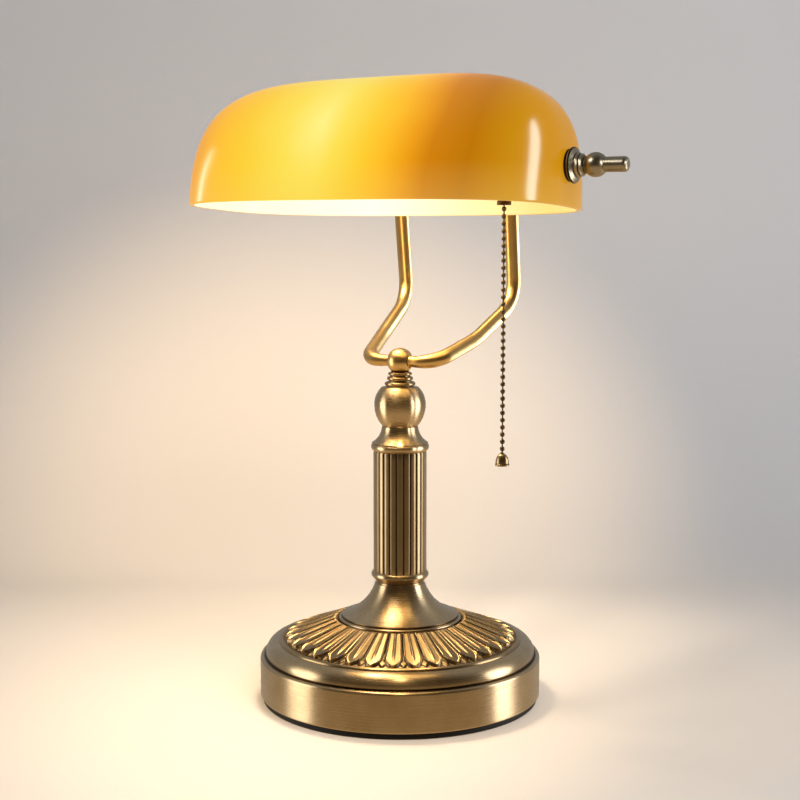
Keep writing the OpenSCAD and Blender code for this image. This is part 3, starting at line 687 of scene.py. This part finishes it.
def make_cone():
    """The flared pedestal between the petals and the stem."""
    high = node_box("pedestal_cone")[1]
    r, top = high[0], high[2]
    z = top - 24.4
    outline = [(6, z - 3.6), (r - 3, z - 3.6), (r - 3, z)] + arc(r - 1.1, z + 1.1, 1.1, -90, 80, 12)
    outline += [(r - 1.7, z + 2.15), (r - 2.4, z + 2.3)] + arc(45.5, top + 9.1, 31, 255, 198, 40)
    outline += arc(15.2, top - 0.7, 0.7, 10, 90, 4) + [(6, top)]
    mesh = turned("cone", outline, 192, reach=1.0, depth=0.5, step=0.8)
    make_piece("cone", mesh, "base", BRASS, "antique_brass", "pedestal_cone")


def make_collars():
    """The beads below and above the reeded column, the upper one with the neck."""
    low, high = node_box("lower_collar")
    r, z0, z1 = high[0], low[2], high[2]
    z1 += 1.4
    outline = [(6, z0), (15.0, z0), (14.9, z0 + 0.5), (15.4, z0 + 1.1)]
    outline += arc(r - 2.4, z1 - 3.4, 2.4, -38, 84, 18)
    outline += [(16.0, z1 - 0.9), (15.4, z1 - 0.5), (15.2, z1), (6, z1)]
    mesh = turned("lower_bead", outline, 160, reach=0.8, depth=0.3, step=0.4)
    make_piece("lower_bead", mesh, "base", BRASS, "antique_brass", "lower_collar")
    low, high = node_box("upper_collar")
    r, z0, z1 = high[0], low[2], high[2]
    outline = [(6, z0), (15.8, z0), (16.6, z0 + 0.3)] + arc(r - 2.9, z0 + 3.2, 2.9, -66, 70, 18)
    outline += arc(24.5, z1, 13, 240, 184, 26) + [(10.9, z1), (6, z1)]
    mesh = turned("neck", outline, 160, reach=0.8, depth=0.5, step=0.5)
    make_piece("neck", mesh, "base", BRASS, "antique_brass", "upper_collar")


def make_column():
    """The reeded column: round reeds side by side, with the grooves between them darkened by old oxide and
    painted shade.
    """
    low, high = node_box("reeded_column")
    r, z0, z1 = high[0], low[2] - 0.4, high[2] + 0.4
    count, per_reed = 24, 12
    shares = np.linspace(-1, 1, per_reed)
    section, dark = [], []
    for i in range(count):
        turn = 2 * math.pi * i / count
        for share in shares:
            a, reach = turn + share * math.pi / count * 0.98, r - 0.5 * abs(share) ** 4
            section.append((reach * math.cos(a), reach * math.sin(a)))
            # Darker towards each reed's edges, in the grooves: old oxide and painted shade.
            dark.append(abs(share) ** 3)
    section = np.array(section)
    levels = [z0, z0, z0 + 1.2] + list(np.linspace(z0 + 4, z1 - 4, 12)) + [z1 - 1.2, z1, z1]
    scale = [0.5, 0.985, 1.0] + [1.0] * 12 + [1.0, 0.985, 0.5]
    rows = [np.column_stack([section * s, np.full(len(section), z)]) for s, z in zip(scale, levels)]
    patina = np.tile(dark, len(rows))
    faces = ring_faces(len(rows), len(section), True)
    mesh = finish_mesh("reeds", np.vstack(rows), faces, patina, 50)
    make_piece("reeds", mesh, "base", REED_BRASS, "antique_brass", "reeded_column")


def make_knop():
    """The round knop: two half ellipses that meet at its widest place."""
    low, high = node_box("knop")
    z0, z1 = low[2], high[2]
    widest, mid, below, above = high[0], z0 + 13.2, 19.0, 15.8
    outline = [(6, z0), (11.0, z0)]
    for height, lowest, highest in ((below, z0 + 0.1, mid), (above, mid + 0.6, z1 - 0.5)):
        levels = np.linspace(lowest, highest, 20)
        outline += [(widest * math.sqrt(1 - ((z - mid) / height) ** 2), z) for z in levels]
    outline += [(10.2, z1 - 0.1), (6, z1)]
    mesh = turned("knop_ball", outline, 160, reach=1.2, depth=0.35, step=0.6)
    make_piece("knop_ball", mesh, "base", BRASS, "antique_brass", "knop")


def make_neck_rings():
    """The two rings over the knop and the seat of the ball."""
    for name, node in (("ring_low", "neck_ring_lower"), ("ring_high", "neck_ring_upper")):
        low, high = node_box(node)
        r, z0, z1 = high[0], low[2], high[2]
        half = (z1 - z0) / 2
        outline = [(5.2, z0), (r - 2.4, z0), (r - 2.3, z0 + 0.45)]
        outline += arc(r - half + 0.45, z0 + half, half - 0.45, -75, 75, 12)
        outline += [(r - 2.3, z1 - 0.45), (r - 2.4, z1), (5.2, z1)]
        mesh = turned(name, outline, 128, reach=0.6, depth=0.14, step=0.25)
        make_piece(name, mesh, "base", SHADE_DARKENED_BRASS, "antique_brass", node)
    low, high = node_box("ball_seat")
    r, z0, z1 = high[0], low[2], high[2]
    outline = [(5.2, z0), (r - 1.3, z0), (r - 1.2, z0 + 0.3)] + arc(r - 0.95, z0 + 1.3, 0.95, -70, 75, 12)
    outline += [(r - 1.5, z0 + 2.4), (r - 2.1, z0 + 2.7), (r - 2.2, z1 - 0.4), (5.5, z1), (5.2, z1 - 1.4)]
    mesh = turned("seat", outline, 128, reach=0.6, depth=0.14, step=0.3)
    make_piece("seat", mesh, "base", SHADE_DARKENED_BRASS, "antique_brass", "ball_seat")


# ---- Pivot and arms ----


def make_ball():
    """The pivot ball, turned about the tilt axis, with a cup on each side for the arms."""
    r, bore, cup, flat = 8.4, 3.2, 4.0, 6.0
    edge = math.asin((cup + 0.35) / r)
    lip = r * math.cos(edge) - 0.15
    outline = [(4.3, flat), (cup, flat), (cup, lip)]
    outline += [(z, x) for x, z in arc(0, 0, r, math.degrees(edge), 180 - math.degrees(edge), 60)]
    outline += [(cup, -lip), (cup, -flat), (4.3, -flat), (bore, -flat), (bore, flat)]
    mesh = turned("ball", outline[::-1], 128, at=tuple(BALL), axis="x", reach=0.8, depth=0.3, step=0.4)
    make_piece("ball", mesh, "base", TUBE_BRASS, "antique_brass", "pivot_ball")


# Bend radii of the arms' corners.
ARM_BENDS = (16, 65, 23, 20)


def arm_corners():
    """Corners of the right arm's middle line, as the CAD arm has them."""
    x, z = 41.6, BALL[2]
    head = leaned([(x, 95.8, 0), (x, 10, 0)])
    return [(7.3, 0, z), (25, 0, z), (35, 37, z + 12.8), (x - 0.6, 81, z + 35.3), head[0], head[1]]


def make_arms():
    """The two bent arms, which grow thicker over their first length."""
    corners = arm_corners()
    thin, thick, taper = 3.5, 4.65, 17
    for name, node, side in (("arm_right", "right_arm", 1), ("arm_left", "left_arm", -1)):
        path = bent_path([(side * x, y, z) for x, y, z in corners], ARM_BENDS)
        first = path[0] + (path[1] - path[0]) * np.linspace(0, 1, 12, endpoint=False)[:, None]
        path = np.vstack([first, path[1:]])
        along = np.concatenate([[0], np.cumsum(np.linalg.norm(np.diff(path, axis=0), axis=1))])
        widen = np.clip(along / taper, 0, 1)
        radii = thin + (thick - thin) * widen * widen * (3 - 2 * widen)
        mesh = swept(name, path, radii, 40)
        make_piece(name, mesh, "yoke", TUBE_BRASS, "antique_brass", node)


# ---- Shade ----

# Half length, half width and height of the glass, the powers of its superellipses, and its thickness.
SHADE_A, SHADE_B, SHADE_H = 125.7, 64.8, 79.3
PLAN_N, LONG_N, CROSS_N = 3.0, 3.95, 1.72
GLASS = 3.5


def plan_outline(points):
    """Unit superellipse with evenly spaced points for the shade's plan."""
    t = np.linspace(0, 2 * math.pi, 20001)
    x = np.sign(np.cos(t)) * np.abs(np.cos(t)) ** (2 / PLAN_N)
    y = np.sign(np.sin(t)) * np.abs(np.sin(t)) ** (2 / PLAN_N)
    steps = np.hypot(np.diff(x) * SHADE_A, np.diff(y) * SHADE_B)
    along = np.concatenate([[0], np.cumsum(steps)])
    at = np.linspace(0, along[-1], points, endpoint=False)
    return np.interp(at, along, x), np.interp(at, along, y)


def dome_rows(inset, plan, levels):
    """Rows of points of the shade's skin, set in from its outer face, from the rim up."""
    a, b, h = SHADE_A - inset, SHADE_B - inset, SHADE_H - inset
    share = np.sin(levels) ** (2 / CROSS_N)
    wide = a * (1 - share**LONG_N) ** (1 / LONG_N)
    deep = b * (1 - share**CROSS_N) ** (1 / CROSS_N)
    x = wide[:, None] * plan[0]
    y = deep[:, None] * plan[1]
    z = np.broadcast_to((share * h)[:, None], x.shape)
    return np.stack([x, y, z], -1)


def make_shade():
    """The glass: amber outside, white inside, with a rounded rim."""
    turns, rows = 256, 72
    plan = plan_outline(turns)
    levels = np.linspace(0, math.radians(89.2), rows)
    outside = dome_rows(0, plan, levels)
    inside = dome_rows(GLASS, plan, levels)
    rim = []
    for t in np.linspace(0, math.pi, 9)[1:-1]:
        share = (1 - math.cos(t)) / 2
        row = dome_rows(GLASS * share, plan, levels[:1])[0].copy()
        row[:, 2] = -0.5 * math.sin(t)
        rim.append(row)
    skin = np.concatenate([outside[::-1], np.array(rim), inside])
    skin = skin.reshape(-1, 3)
    count = len(skin)
    tops = np.array([(0, 0, SHADE_H), (0, 0, SHADE_H - GLASS)])
    points = leaned(np.vstack([skin, tops]) - np.array([0, 0, BAR_OVER_RIM]))
    total_rows = count // turns
    faces = [f[::-1] for f in ring_faces(total_rows, turns, False)]
    faces += [(count, k, (k + 1) % turns) for k in range(turns)]
    last = count - turns
    faces += [(count + 1, last + (k + 1) % turns, last + k) for k in range(turns)]
    mesh = finish_mesh("glass_shade", points, faces, None, 60)
    piece = make_piece("glass_shade", mesh, "yoke", AMBER, "amber_glass", "shade")
    mesh.materials.append(OPAL)
    first_inside = (rows + len(rim) - 2) * turns
    for face in mesh.polygons:
        low = min(face.vertices)
        if (low >= first_inside and max(face.vertices) < count) or count + 1 in face.vertices:
            face.material_index = 1
    return piece


# ---- Clamp and crossbar ----


def at_bar():
    """A place on the crossbar's axis, at the lamp's middle."""
    return (0.0, BAR_Y, BAR_Z)


def make_flange():
    """The stepped flange that bears on the glass at the right end."""
    low, high = node_box("clamp_flange")
    r, x0, x1 = (high[1] - low[1]) / 2, low[0], high[0]
    outline = [(4.9, x0), (r - 0.7, x0), (r - 0.3, x0 + 0.3)]
    turns = np.radians(np.linspace(-40, 80, 9))
    outline += [(r - 0.9 + 0.9 * math.cos(t), x0 + 1.2 + 0.9 * math.sin(t)) for t in turns]
    outline += [(r - 2.0, x1 - 0.5), (r - 3.2, x1), (4.9, x1)]
    mesh = turned("flange", outline[::-1], 96, at=at_bar(), axis="x", reach=0.6, depth=0.25, step=0.3)
    make_piece("flange", mesh, "yoke", DARK_BRASS, "dark_brass", "clamp_flange")


def make_knob():
    """The turned knob that clamps the flange: a stepped foot, a ball and a rounded shaft."""
    low, high = node_box("clamp_knob")
    x0, x1 = low[0], high[0]
    ball_x, ball_r, tip = x1 - 19.6, 7.1, 2.3
    outline = [(4.9, x0), (6.7, x0), (7.1, x0 + 0.5), (7.1, x0 + 1.3), (6.5, x0 + 1.9), (6.1, x0 + 2.3)]
    outline += [(6.5, x0 + 2.8), (6.5, x0 + 3.3), (5.4, x0 + 4.2), (4.9, x0 + 5.2)]
    turns = np.radians(np.linspace(50, 147, 26))
    outline += [(ball_r * math.sin(t), ball_x - ball_r * math.cos(t)) for t in turns]
    outline += [(4.4, ball_x + 6.0), (4.4, x1 - 2.4)]
    turns = np.radians(np.linspace(10, 90, 8))
    outline += [(2.1 + tip * math.cos(t), x1 - tip + tip * math.sin(t)) for t in turns]
    outline += [(0.02, x1), (0.02, x0 + 10), (4.8, x0 + 9.9)]
    mesh = turned("knob_turned", outline, 96, at=at_bar(), axis="x", reach=0.7, depth=0.3, step=0.35)
    make_piece("knob_turned", mesh, "knob", DARK_BRASS, "dark_brass", "clamp_knob")


def make_cap_nut():
    """The domed nut that clamps the glass at the left end."""
    low, high = node_box("left_cap_nut")
    r, x0, x1 = (high[1] - low[1]) / 2, low[0], high[0]
    turns = np.radians(np.linspace(0, 89, 24))
    dome = [(r * math.cos(t), x1 - 2 - (x1 - 2 - x0) * math.sin(t)) for t in turns]
    outline = [(4.9, x1), (4.9, x0 + 3), (0.02, x0 + 2.6), (0.02, x0)] + dome[::-1]
    outline += [(r - 0.3, x1 - 0.3), (r - 0.6, x1)]
    mesh = turned("cap_nut", outline, 96, at=at_bar(), axis="x", reach=0.7, depth=0.3, step=0.5)
    make_piece("cap_nut", mesh, "yoke", DARK_BRASS, "dark_brass", "left_cap_nut")


# ---- Bulb, switch and chain ----


def make_bulb():
    """The bulb's glass: a neck that swells smoothly into a round end."""
    r, sides, rise = 19.0, 64, 28.0
    neck, end, held = 18.5, -84.0, 8
    outline = [(0.02, neck - 0.5), (11.6, neck - 0.5), (11.8, neck - 8), (14.4, neck - 16)]
    outline = fine(outline + [(17.4, neck - 24), (r, neck - 36)], 1.5)
    smooth = outline[held:]
    for _ in range(30):
        smooth[1:-1] = (smooth[:-2] + smooth[2:]) / 2
    turns = np.radians(np.linspace(4, 89.8, 24))
    dome = [(r * math.cos(t), end + r - r * math.sin(t)) for t in turns]
    outline = fine(list(outline) + dome + [(0.02, end + 1), (0.02, 0)], 3.0)
    angle = np.linspace(0, 2 * math.pi, sides, endpoint=False)
    radius, along = outline[:, :1], outline[:, 1:]
    along = np.broadcast_to(along, (len(outline), sides))
    grid = np.stack([along, radius * np.cos(angle), radius * np.sin(angle)], -1)
    points = leaned(grid.reshape(-1, 3) + np.array([0, 0, rise]))
    faces = [f[::-1] for f in ring_faces(len(outline), sides, True)]
    mesh = finish_mesh("bulb", points, faces, None, 50)
    piece = make_piece("bulb", mesh, "bulb", LIT_BULB, "frosted_glass", "bulb_glass")
    piece.visible_shadow = False


# Beads in each half of the chain, and the distance between them.
HALF_BEADS, BEAD_PITCH = 17, 4.3


def chain_place():
    """X and Y of the chain, under the middle of the switch."""
    return (HOUSING_LOW[0] + HOUSING_HIGH[0]) / 2, (HOUSING_LOW[1] + HOUSING_HIGH[1]) / 2


def bead_run(name, node, first, bottom, top):
    """One half of the chain: beads upwards from the first, on a link from bottom to top."""
    cx, cy = chain_place()
    low, high = node_box(node)
    mesh = bmesh.new()
    radius = (high[0] - low[0]) / 2
    for i in range(HALF_BEADS):
        place = Matrix.Translation((cx, cy, first + i * BEAD_PITCH))
        bmesh.ops.create_uvsphere(mesh, u_segments=24, v_segments=14, radius=radius, matrix=place)
    place = Matrix.Translation((cx, cy, (top + bottom) / 2))
    link = {"radius1": 0.45, "radius2": 0.45, "depth": top - bottom}
    bmesh.ops.create_cone(mesh, cap_ends=True, segments=12, matrix=place, **link)
    bmesh.ops.scale(mesh, vec=(MM, MM, MM), verts=mesh.verts)
    data = bpy.data.meshes.new(name)
    mesh.to_mesh(data)
    mesh.free()
    data.shade_smooth()
    data.set_sharp_from_angle(angle=math.radians(50))
    make_piece(name, data, node, CHAIN_BRASS, "dark_brass", node)


def make_chain():
    """The two halves of the bead chain. The upper one ends in a link down to the lower one."""
    first = joint_place("chain_sway")[2] + BEAD_PITCH
    bead_run("beads_upper", "chain_upper", first, first - BEAD_PITCH + 0.7, node_box("chain_upper")[1][2])
    low, high = node_box("chain_lower")
    bead = (high[0] - low[0]) / 2
    first = low[2] + bead
    top = first + (HALF_BEADS - 1) * BEAD_PITCH
    bead_run("beads_lower", "chain_lower", first, first - bead - 0.6, top)


def make_bell():
    """The bell-shaped pull at the chain's end."""
    cx, cy = chain_place()
    low, high = node_box("chain_bell")
    z, r = low[2], (high[0] - low[0]) / 2
    outline = [(0.02, z), (r - 1.0, z)] + arc(r - 0.7, z + 0.7, 0.7, -80, 60, 8) + [(r - 0.45, z + 1.5)]
    turns = np.radians(np.linspace(0, 84, 16))
    outline += [(1.0 + (r - 1.4) * math.cos(t), z + 1.7 + 5.6 * math.sin(t)) for t in turns]
    outline += [(1.05, z + 7.6), (0.95, z + 8.4), (0.02, z + 8.5)]
    mesh = turned("bell", outline, 64, at=(cx, cy, 0), reach=0.5, depth=0.2, step=0.25)
    make_piece("bell", mesh, "chain_lower", REED_BRASS, "dark_brass", "chain_bell")


def make_switch():
    """The switch's lip, where the chain comes out."""
    cx, cy = chain_place()
    low, high = node_box("chain_guide")
    z0, z1, r = low[2], high[2], (high[0] - low[0]) / 2
    outline = [(2.0, z0 + 0.3), (2.3, z0)] + arc(r - 0.4, z0 + 0.4, 0.4, -90, 0, 6)
    outline += arc(r - 0.4, z0 + 2.2, 0.4, 0, 90, 6) + [(r - 0.9, z0 + 2.7), (r - 0.9, z1), (2.0, z1)]
    mesh = turned("guide", outline, 64, at=(cx, cy, 0), reach=0.5, depth=0.2, step=0.3)
    make_piece("guide", mesh, "yoke", SHADED_BRASS, "dark_brass", "chain_guide")


def make_spring():
    """The coil spring under the plunger's head, built at one length."""
    low, high = node_box("switch_spring")
    wire, turns, travel = 0.45, 4, 4.5
    middle = (low + high) / 2
    coil_r, tall = (high[0] - low[0]) / 2 - wire, high[2] - low[2] - 2 * wire
    share = np.linspace(0, 1, 48 * turns)
    turn = share * turns * 2 * math.pi
    x, y = middle[0] + coil_r * np.cos(turn), middle[1] + coil_r * np.sin(turn)
    path = np.column_stack([x, y, low[2] + wire + tall * share])
    mesh = swept("spring", path, [wire] * len(path), 12)
    piece = make_piece("spring", mesh, "yoke", STEEL, "steel", "switch_spring")
    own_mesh(piece)


# ---- CAD nodes that keep their own shape ----

KEPT = (
    (IRON, "cast_iron", "base_weight"),
    (STEEL, "steel", "tie_rod rod_washer rod_nut friction_screw pivot_nipple tee_screws crossbar"),
    (STEEL, "steel", "inner_nuts socket_bracket bulb_cap bulb_contact filament_mount switch_plunger"),
    (RUBBER, "black_rubber", "cord_bushing base_wire arm_wire left_grommet right_grommet"),
    (RUBBER, "black_rubber", "inner_washers outer_washers"),
    (TUBE_BRASS, "antique_brass", "left_tee right_tee socket_cap socket_shell screw_shell centre_contact"),
    (PLASTIC, "black_plastic", "socket_liner bulb_insulator"),
    (DARK_BRASS, "dark_brass", "switch_housing"),
)


def finish_kept_nodes():
    """Give the nodes that keep their CAD shape their materials."""
    for material, slot, nodes in KEPT:
        for node in nodes.split():
            piece = frame["nodes"][node]
            piece.data.materials.clear()
            piece.data.materials.append(material)


# ---- Stage and lights ----


def make_stage():
    """A seamless floor and backdrop, square to the camera's view."""
    back = np.array([-math.sin(VIEW_AZIMUTH), math.cos(VIEW_AZIMUTH)])
    right = np.array([math.cos(VIEW_AZIMUTH), math.sin(VIEW_AZIMUTH)])
    wall, bend, tall, near, half = 0.62, 0.32, 2.6, -2.6, 2.6
    profile = [(near, 0.0), (wall - bend, 0.0)]
    turns = np.radians(np.linspace(0, 90, 25)[1:])
    profile += [(wall - bend + bend * math.sin(t), bend - bend * math.cos(t)) for t in turns]
    profile += [(wall, tall)]
    points = []
    for d, z in profile:
        for side in (-half, half):
            p = back * d + right * side
            points.append((p[0], p[1], z - 0.0002))
    faces = [(2 * i, 2 * i + 1, 2 * i + 3, 2 * i + 2) for i in range(len(profile) - 1)]
    mesh = bpy.data.meshes.new("stage")
    mesh.from_pydata(points, [], faces)
    mesh.shade_smooth()
    mesh.materials.append(stage_material("stage_paper", rgb(232, 229, 226)))
    floor = bpy.data.objects.new("stage", mesh)
    bpy.context.scene.collection.objects.link(floor)
    floor.visible_glossy = False
    floor.visible_shadow = False


# Colours of the bulb's light on the brass.
WARM, GOLD = (1.0, 0.76, 0.42), (1.0, 0.74, 0.36)


def from_camera_side(azimuth, elevation=0.0):
    """A direction from the lamp. Azimuth 0 is towards the camera, and it grows to the camera's right."""
    a, e = VIEW_AZIMUTH + math.radians(azimuth), math.radians(elevation)
    return Vector((math.sin(a) * math.cos(e), -math.cos(a) * math.cos(e), math.sin(e)))


def add_light(name, kind, power, colour, location, away=None):
    """A light at a place, shining against the direction that leads away from what it lights."""
    data = bpy.data.lights.new(name, kind)
    data.energy, data.color = power, colour
    light = bpy.data.objects.new(name, data)
    light.location = location
    if away is not None:
        light.rotation_mode = "QUATERNION"
        light.rotation_quaternion = away.to_track_quat("Z", "Y")
    bpy.context.scene.collection.objects.link(light)
    return light


def area_light(name, azimuth, elevation, distance, width, height, power, colour, aim=(0, 0, 0.2)):
    """A soft box round the lamp."""
    away = from_camera_side(azimuth, elevation)
    light = add_light(name, "AREA", power, colour, Vector(aim) + away * distance, away)
    light.data.shape, light.data.size, light.data.size_y = "ELLIPSE", width, height
    return light


def only_lights(light, state, *pieces):
    """Let a light shine only on some pieces, or on all but them."""
    group = bpy.data.collections.new(light.name + "_receivers")
    for piece in pieces:
        group.objects.link(piece)
    light.light_linking.receiver_collection = group
    for part in group.collection_objects:
        part.light_linking.link_state = state


def bulb_glow():
    """The lit bulb's light: soft lamps on its middle line that ride with the head."""
    for name, x in (("bulb_glow_outer", -0.062), ("bulb_glow_inner", -0.026)):
        place = (x, BULB_AXIS[1] * MM, BULB_AXIS[2] * MM)
        light = add_light(name, "POINT", 2.2, (1.0, 0.80, 0.55), place)
        light.data.shadow_soft_size = 0.017
        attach(light, "yoke")
        only_lights(light, "EXCLUDE", bpy.data.objects["glass_shade"])


def gleams():
    """Soft lights that each make the gleam of a few pieces only."""
    knob, arms = (0.15, -0.02, 0.34), (0, 0.02, 0.28)
    for name, azimuth, elevation, distance, width, height, power, colour, aim, pieces in (
        ("front_gleam", 0, 60, 0.85, 0.05, 0.14, 1.1, WARM, (0, 0, 0.05), ("drum",)),
        ("petal_gleam", 0, 120, 0.85, 0.26, 0.30, 6.0, WARM, (0, 0, 0.04), ("petals",)),
        ("cone_gleam", 0, 98, 0.85, 0.03, 0.14, 0.15, WARM, (0, 0, 0.05), ("cone", "lower_bead")),
        ("neck_gleam", 0, 98, 0.75, 0.04, 0.14, 2.6, WARM, (0, 0, 0.16), ("neck",)),
        ("stem_gleam", 60, 2, 0.9, 0.22, 0.9, 2.4, (1, 1, 1), (0, 0, 0.2), ("knop_ball", "neck")),
        ("left_arm_gleam", -14, 4, 0.8, 0.24, 1.1, 3.2, GOLD, arms, ("arm_left",)),
        ("right_arm_gleam", -84, 4, 0.8, 0.24, 1.1, 3.6, GOLD, arms, ("arm_right",)),
        ("arm_over", 0, 108, 0.8, 0.20, 0.30, 1.5, GOLD, arms, ("arm_left", "arm_right")),
        ("right_arm_edge", 104, -5, 0.9, 0.20, 0.7, 2.2, (0.97, 1, 1.06), arms, ("arm_right",)),
        ("arm_edge", 122, -6, 0.9, 0.34, 1.1, 7.0, (0.97, 1, 1.06), arms, ("arm_left", "arm_right")),
        ("knob_side", 48, 14, 0.8, 0.26, 0.40, 2.8, (1, 0.98, 0.93), knob, ("flange", "knob_turned")),
        ("knob_top", -70, 36, 0.8, 0.30, 0.30, 2.2, (1, 0.98, 0.93), knob, ("flange", "knob_turned")),
    ):
        light = area_light(name, azimuth, elevation, distance, width, height, power, colour, aim)
        light.visible_camera = False
        only_lights(light, "INCLUDE", *[bpy.data.objects[piece] for piece in pieces])
        nothing_blocks(light)


def nothing_blocks(light):
    """Let a light reach its pieces past everything but the paper."""
    clear = bpy.data.collections.new(light.name + "_blockers")
    clear.objects.link(bpy.data.objects["stage"])
    light.light_linking.blocker_collection = clear


def stage_lights():
    """What lights the paper only: an even wash, and the bulb's warm pool on the backdrop."""
    stage = bpy.data.objects["stage"]
    wash = area_light("stage_wash", 28, 25, 2.0, 1.8, 1.8, 25.2, (0.95, 1.02, 1.13))
    only_lights(wash, "INCLUDE", stage)
    target = from_camera_side(180) * 0.6 - from_camera_side(90) * 0.11 + Vector((0, 0, -0.02))
    place = from_camera_side(0) * 1.25 + Vector((0, 0, 0.45))
    pool = add_light("backdrop_pool", "SPOT", 112.0, (1.0, 0.72, 0.42), place, place - target)
    pool.data.spot_size, pool.data.spot_blend, pool.data.shadow_soft_size = math.radians(25), 1.0, 0.0
    pool.scale = (1.12, 1.0, 1.0)
    only_lights(pool, "INCLUDE", stage)
    nothing_blocks(pool)


def make_world():
    """Studio surroundings: dark and warm on the camera's side, paler behind, warm below."""
    n = Nodes("studio", bpy.data.worlds)
    way = n.add("ShaderNodeTexCoord").outputs["Generated"]
    facing = n.vector("DOT_PRODUCT", way, from_camera_side(0), out=1)
    front = n.spread(facing, -0.25, 0.55, ease="SMOOTHSTEP")
    upper = n.mix(front, (0.33, 0.325, 0.32, 1), (0.058, 0.042, 0.026, 1))
    below = n.spread(n.split(way)[2], -0.08, -0.50, ease="SMOOTHSTEP")
    colour = n.mix(below, upper, (0.70, 0.51, 0.30, 1))
    seen = n.add("ShaderNodeLightPath").outputs["Is Camera Ray"]
    colour = n.mix(seen, colour, (0.52, 0.48, 0.44, 1))
    n.wire(colour, n.tree.nodes["Background"].inputs["Color"])
    bpy.context.scene.world = n.owner


def make_lights():
    """The softboxes at the sides, the strips that gleam on the glass, and all the other lights."""
    left_out = [bpy.data.objects[name] for name in ("stage", "glass_shade", "arm_left", "arm_right")]
    for name, azimuth, elevation, width, height, power, colour in (
        ("box_left", -84, -4, 0.54, 0.95, 4.2, (1.0, 0.97, 0.91)),
        ("box_right", 88, -2, 0.50, 1.0, 5.5, (1.0, 1.0, 1.04)),
    ):
        light = area_light(name, azimuth, elevation, 1.0, width, height, power, colour)
        only_lights(light, "EXCLUDE", *left_out)
    for name, azimuth, elevation, width, height, power, colour, aim in (
        ("strip_left", -117, 10, 0.10, 0.7, 1.6, (1.0, 0.95, 0.84), (-0.1, -0.05, 0.34)),
        ("strip_right", 60, 20, 0.34, 1.4, 22.0, (0.84, 1.04, 0.98), (0.11, -0.06, 0.34)),
    ):
        light = area_light(name, azimuth, elevation, 1.0, width, height, power, colour, aim)
        only_lights(light, "INCLUDE", bpy.data.objects["glass_shade"])
    bulb_glow()
    gleams()
    stage_lights()
    make_world()
    bpy.context.scene.view_settings.view_transform = "Standard"


# ---- Everything ----

make_pad()
make_drum()
make_petals()
make_cone()
make_collars()
make_column()
make_knop()
make_neck_rings()
make_ball()
make_arms()
make_shade()
make_flange()
make_knob()
make_cap_nut()
make_bulb()
make_switch()
make_spring()
make_chain()
make_bell()
finish_kept_nodes()
make_stage()
make_lights()
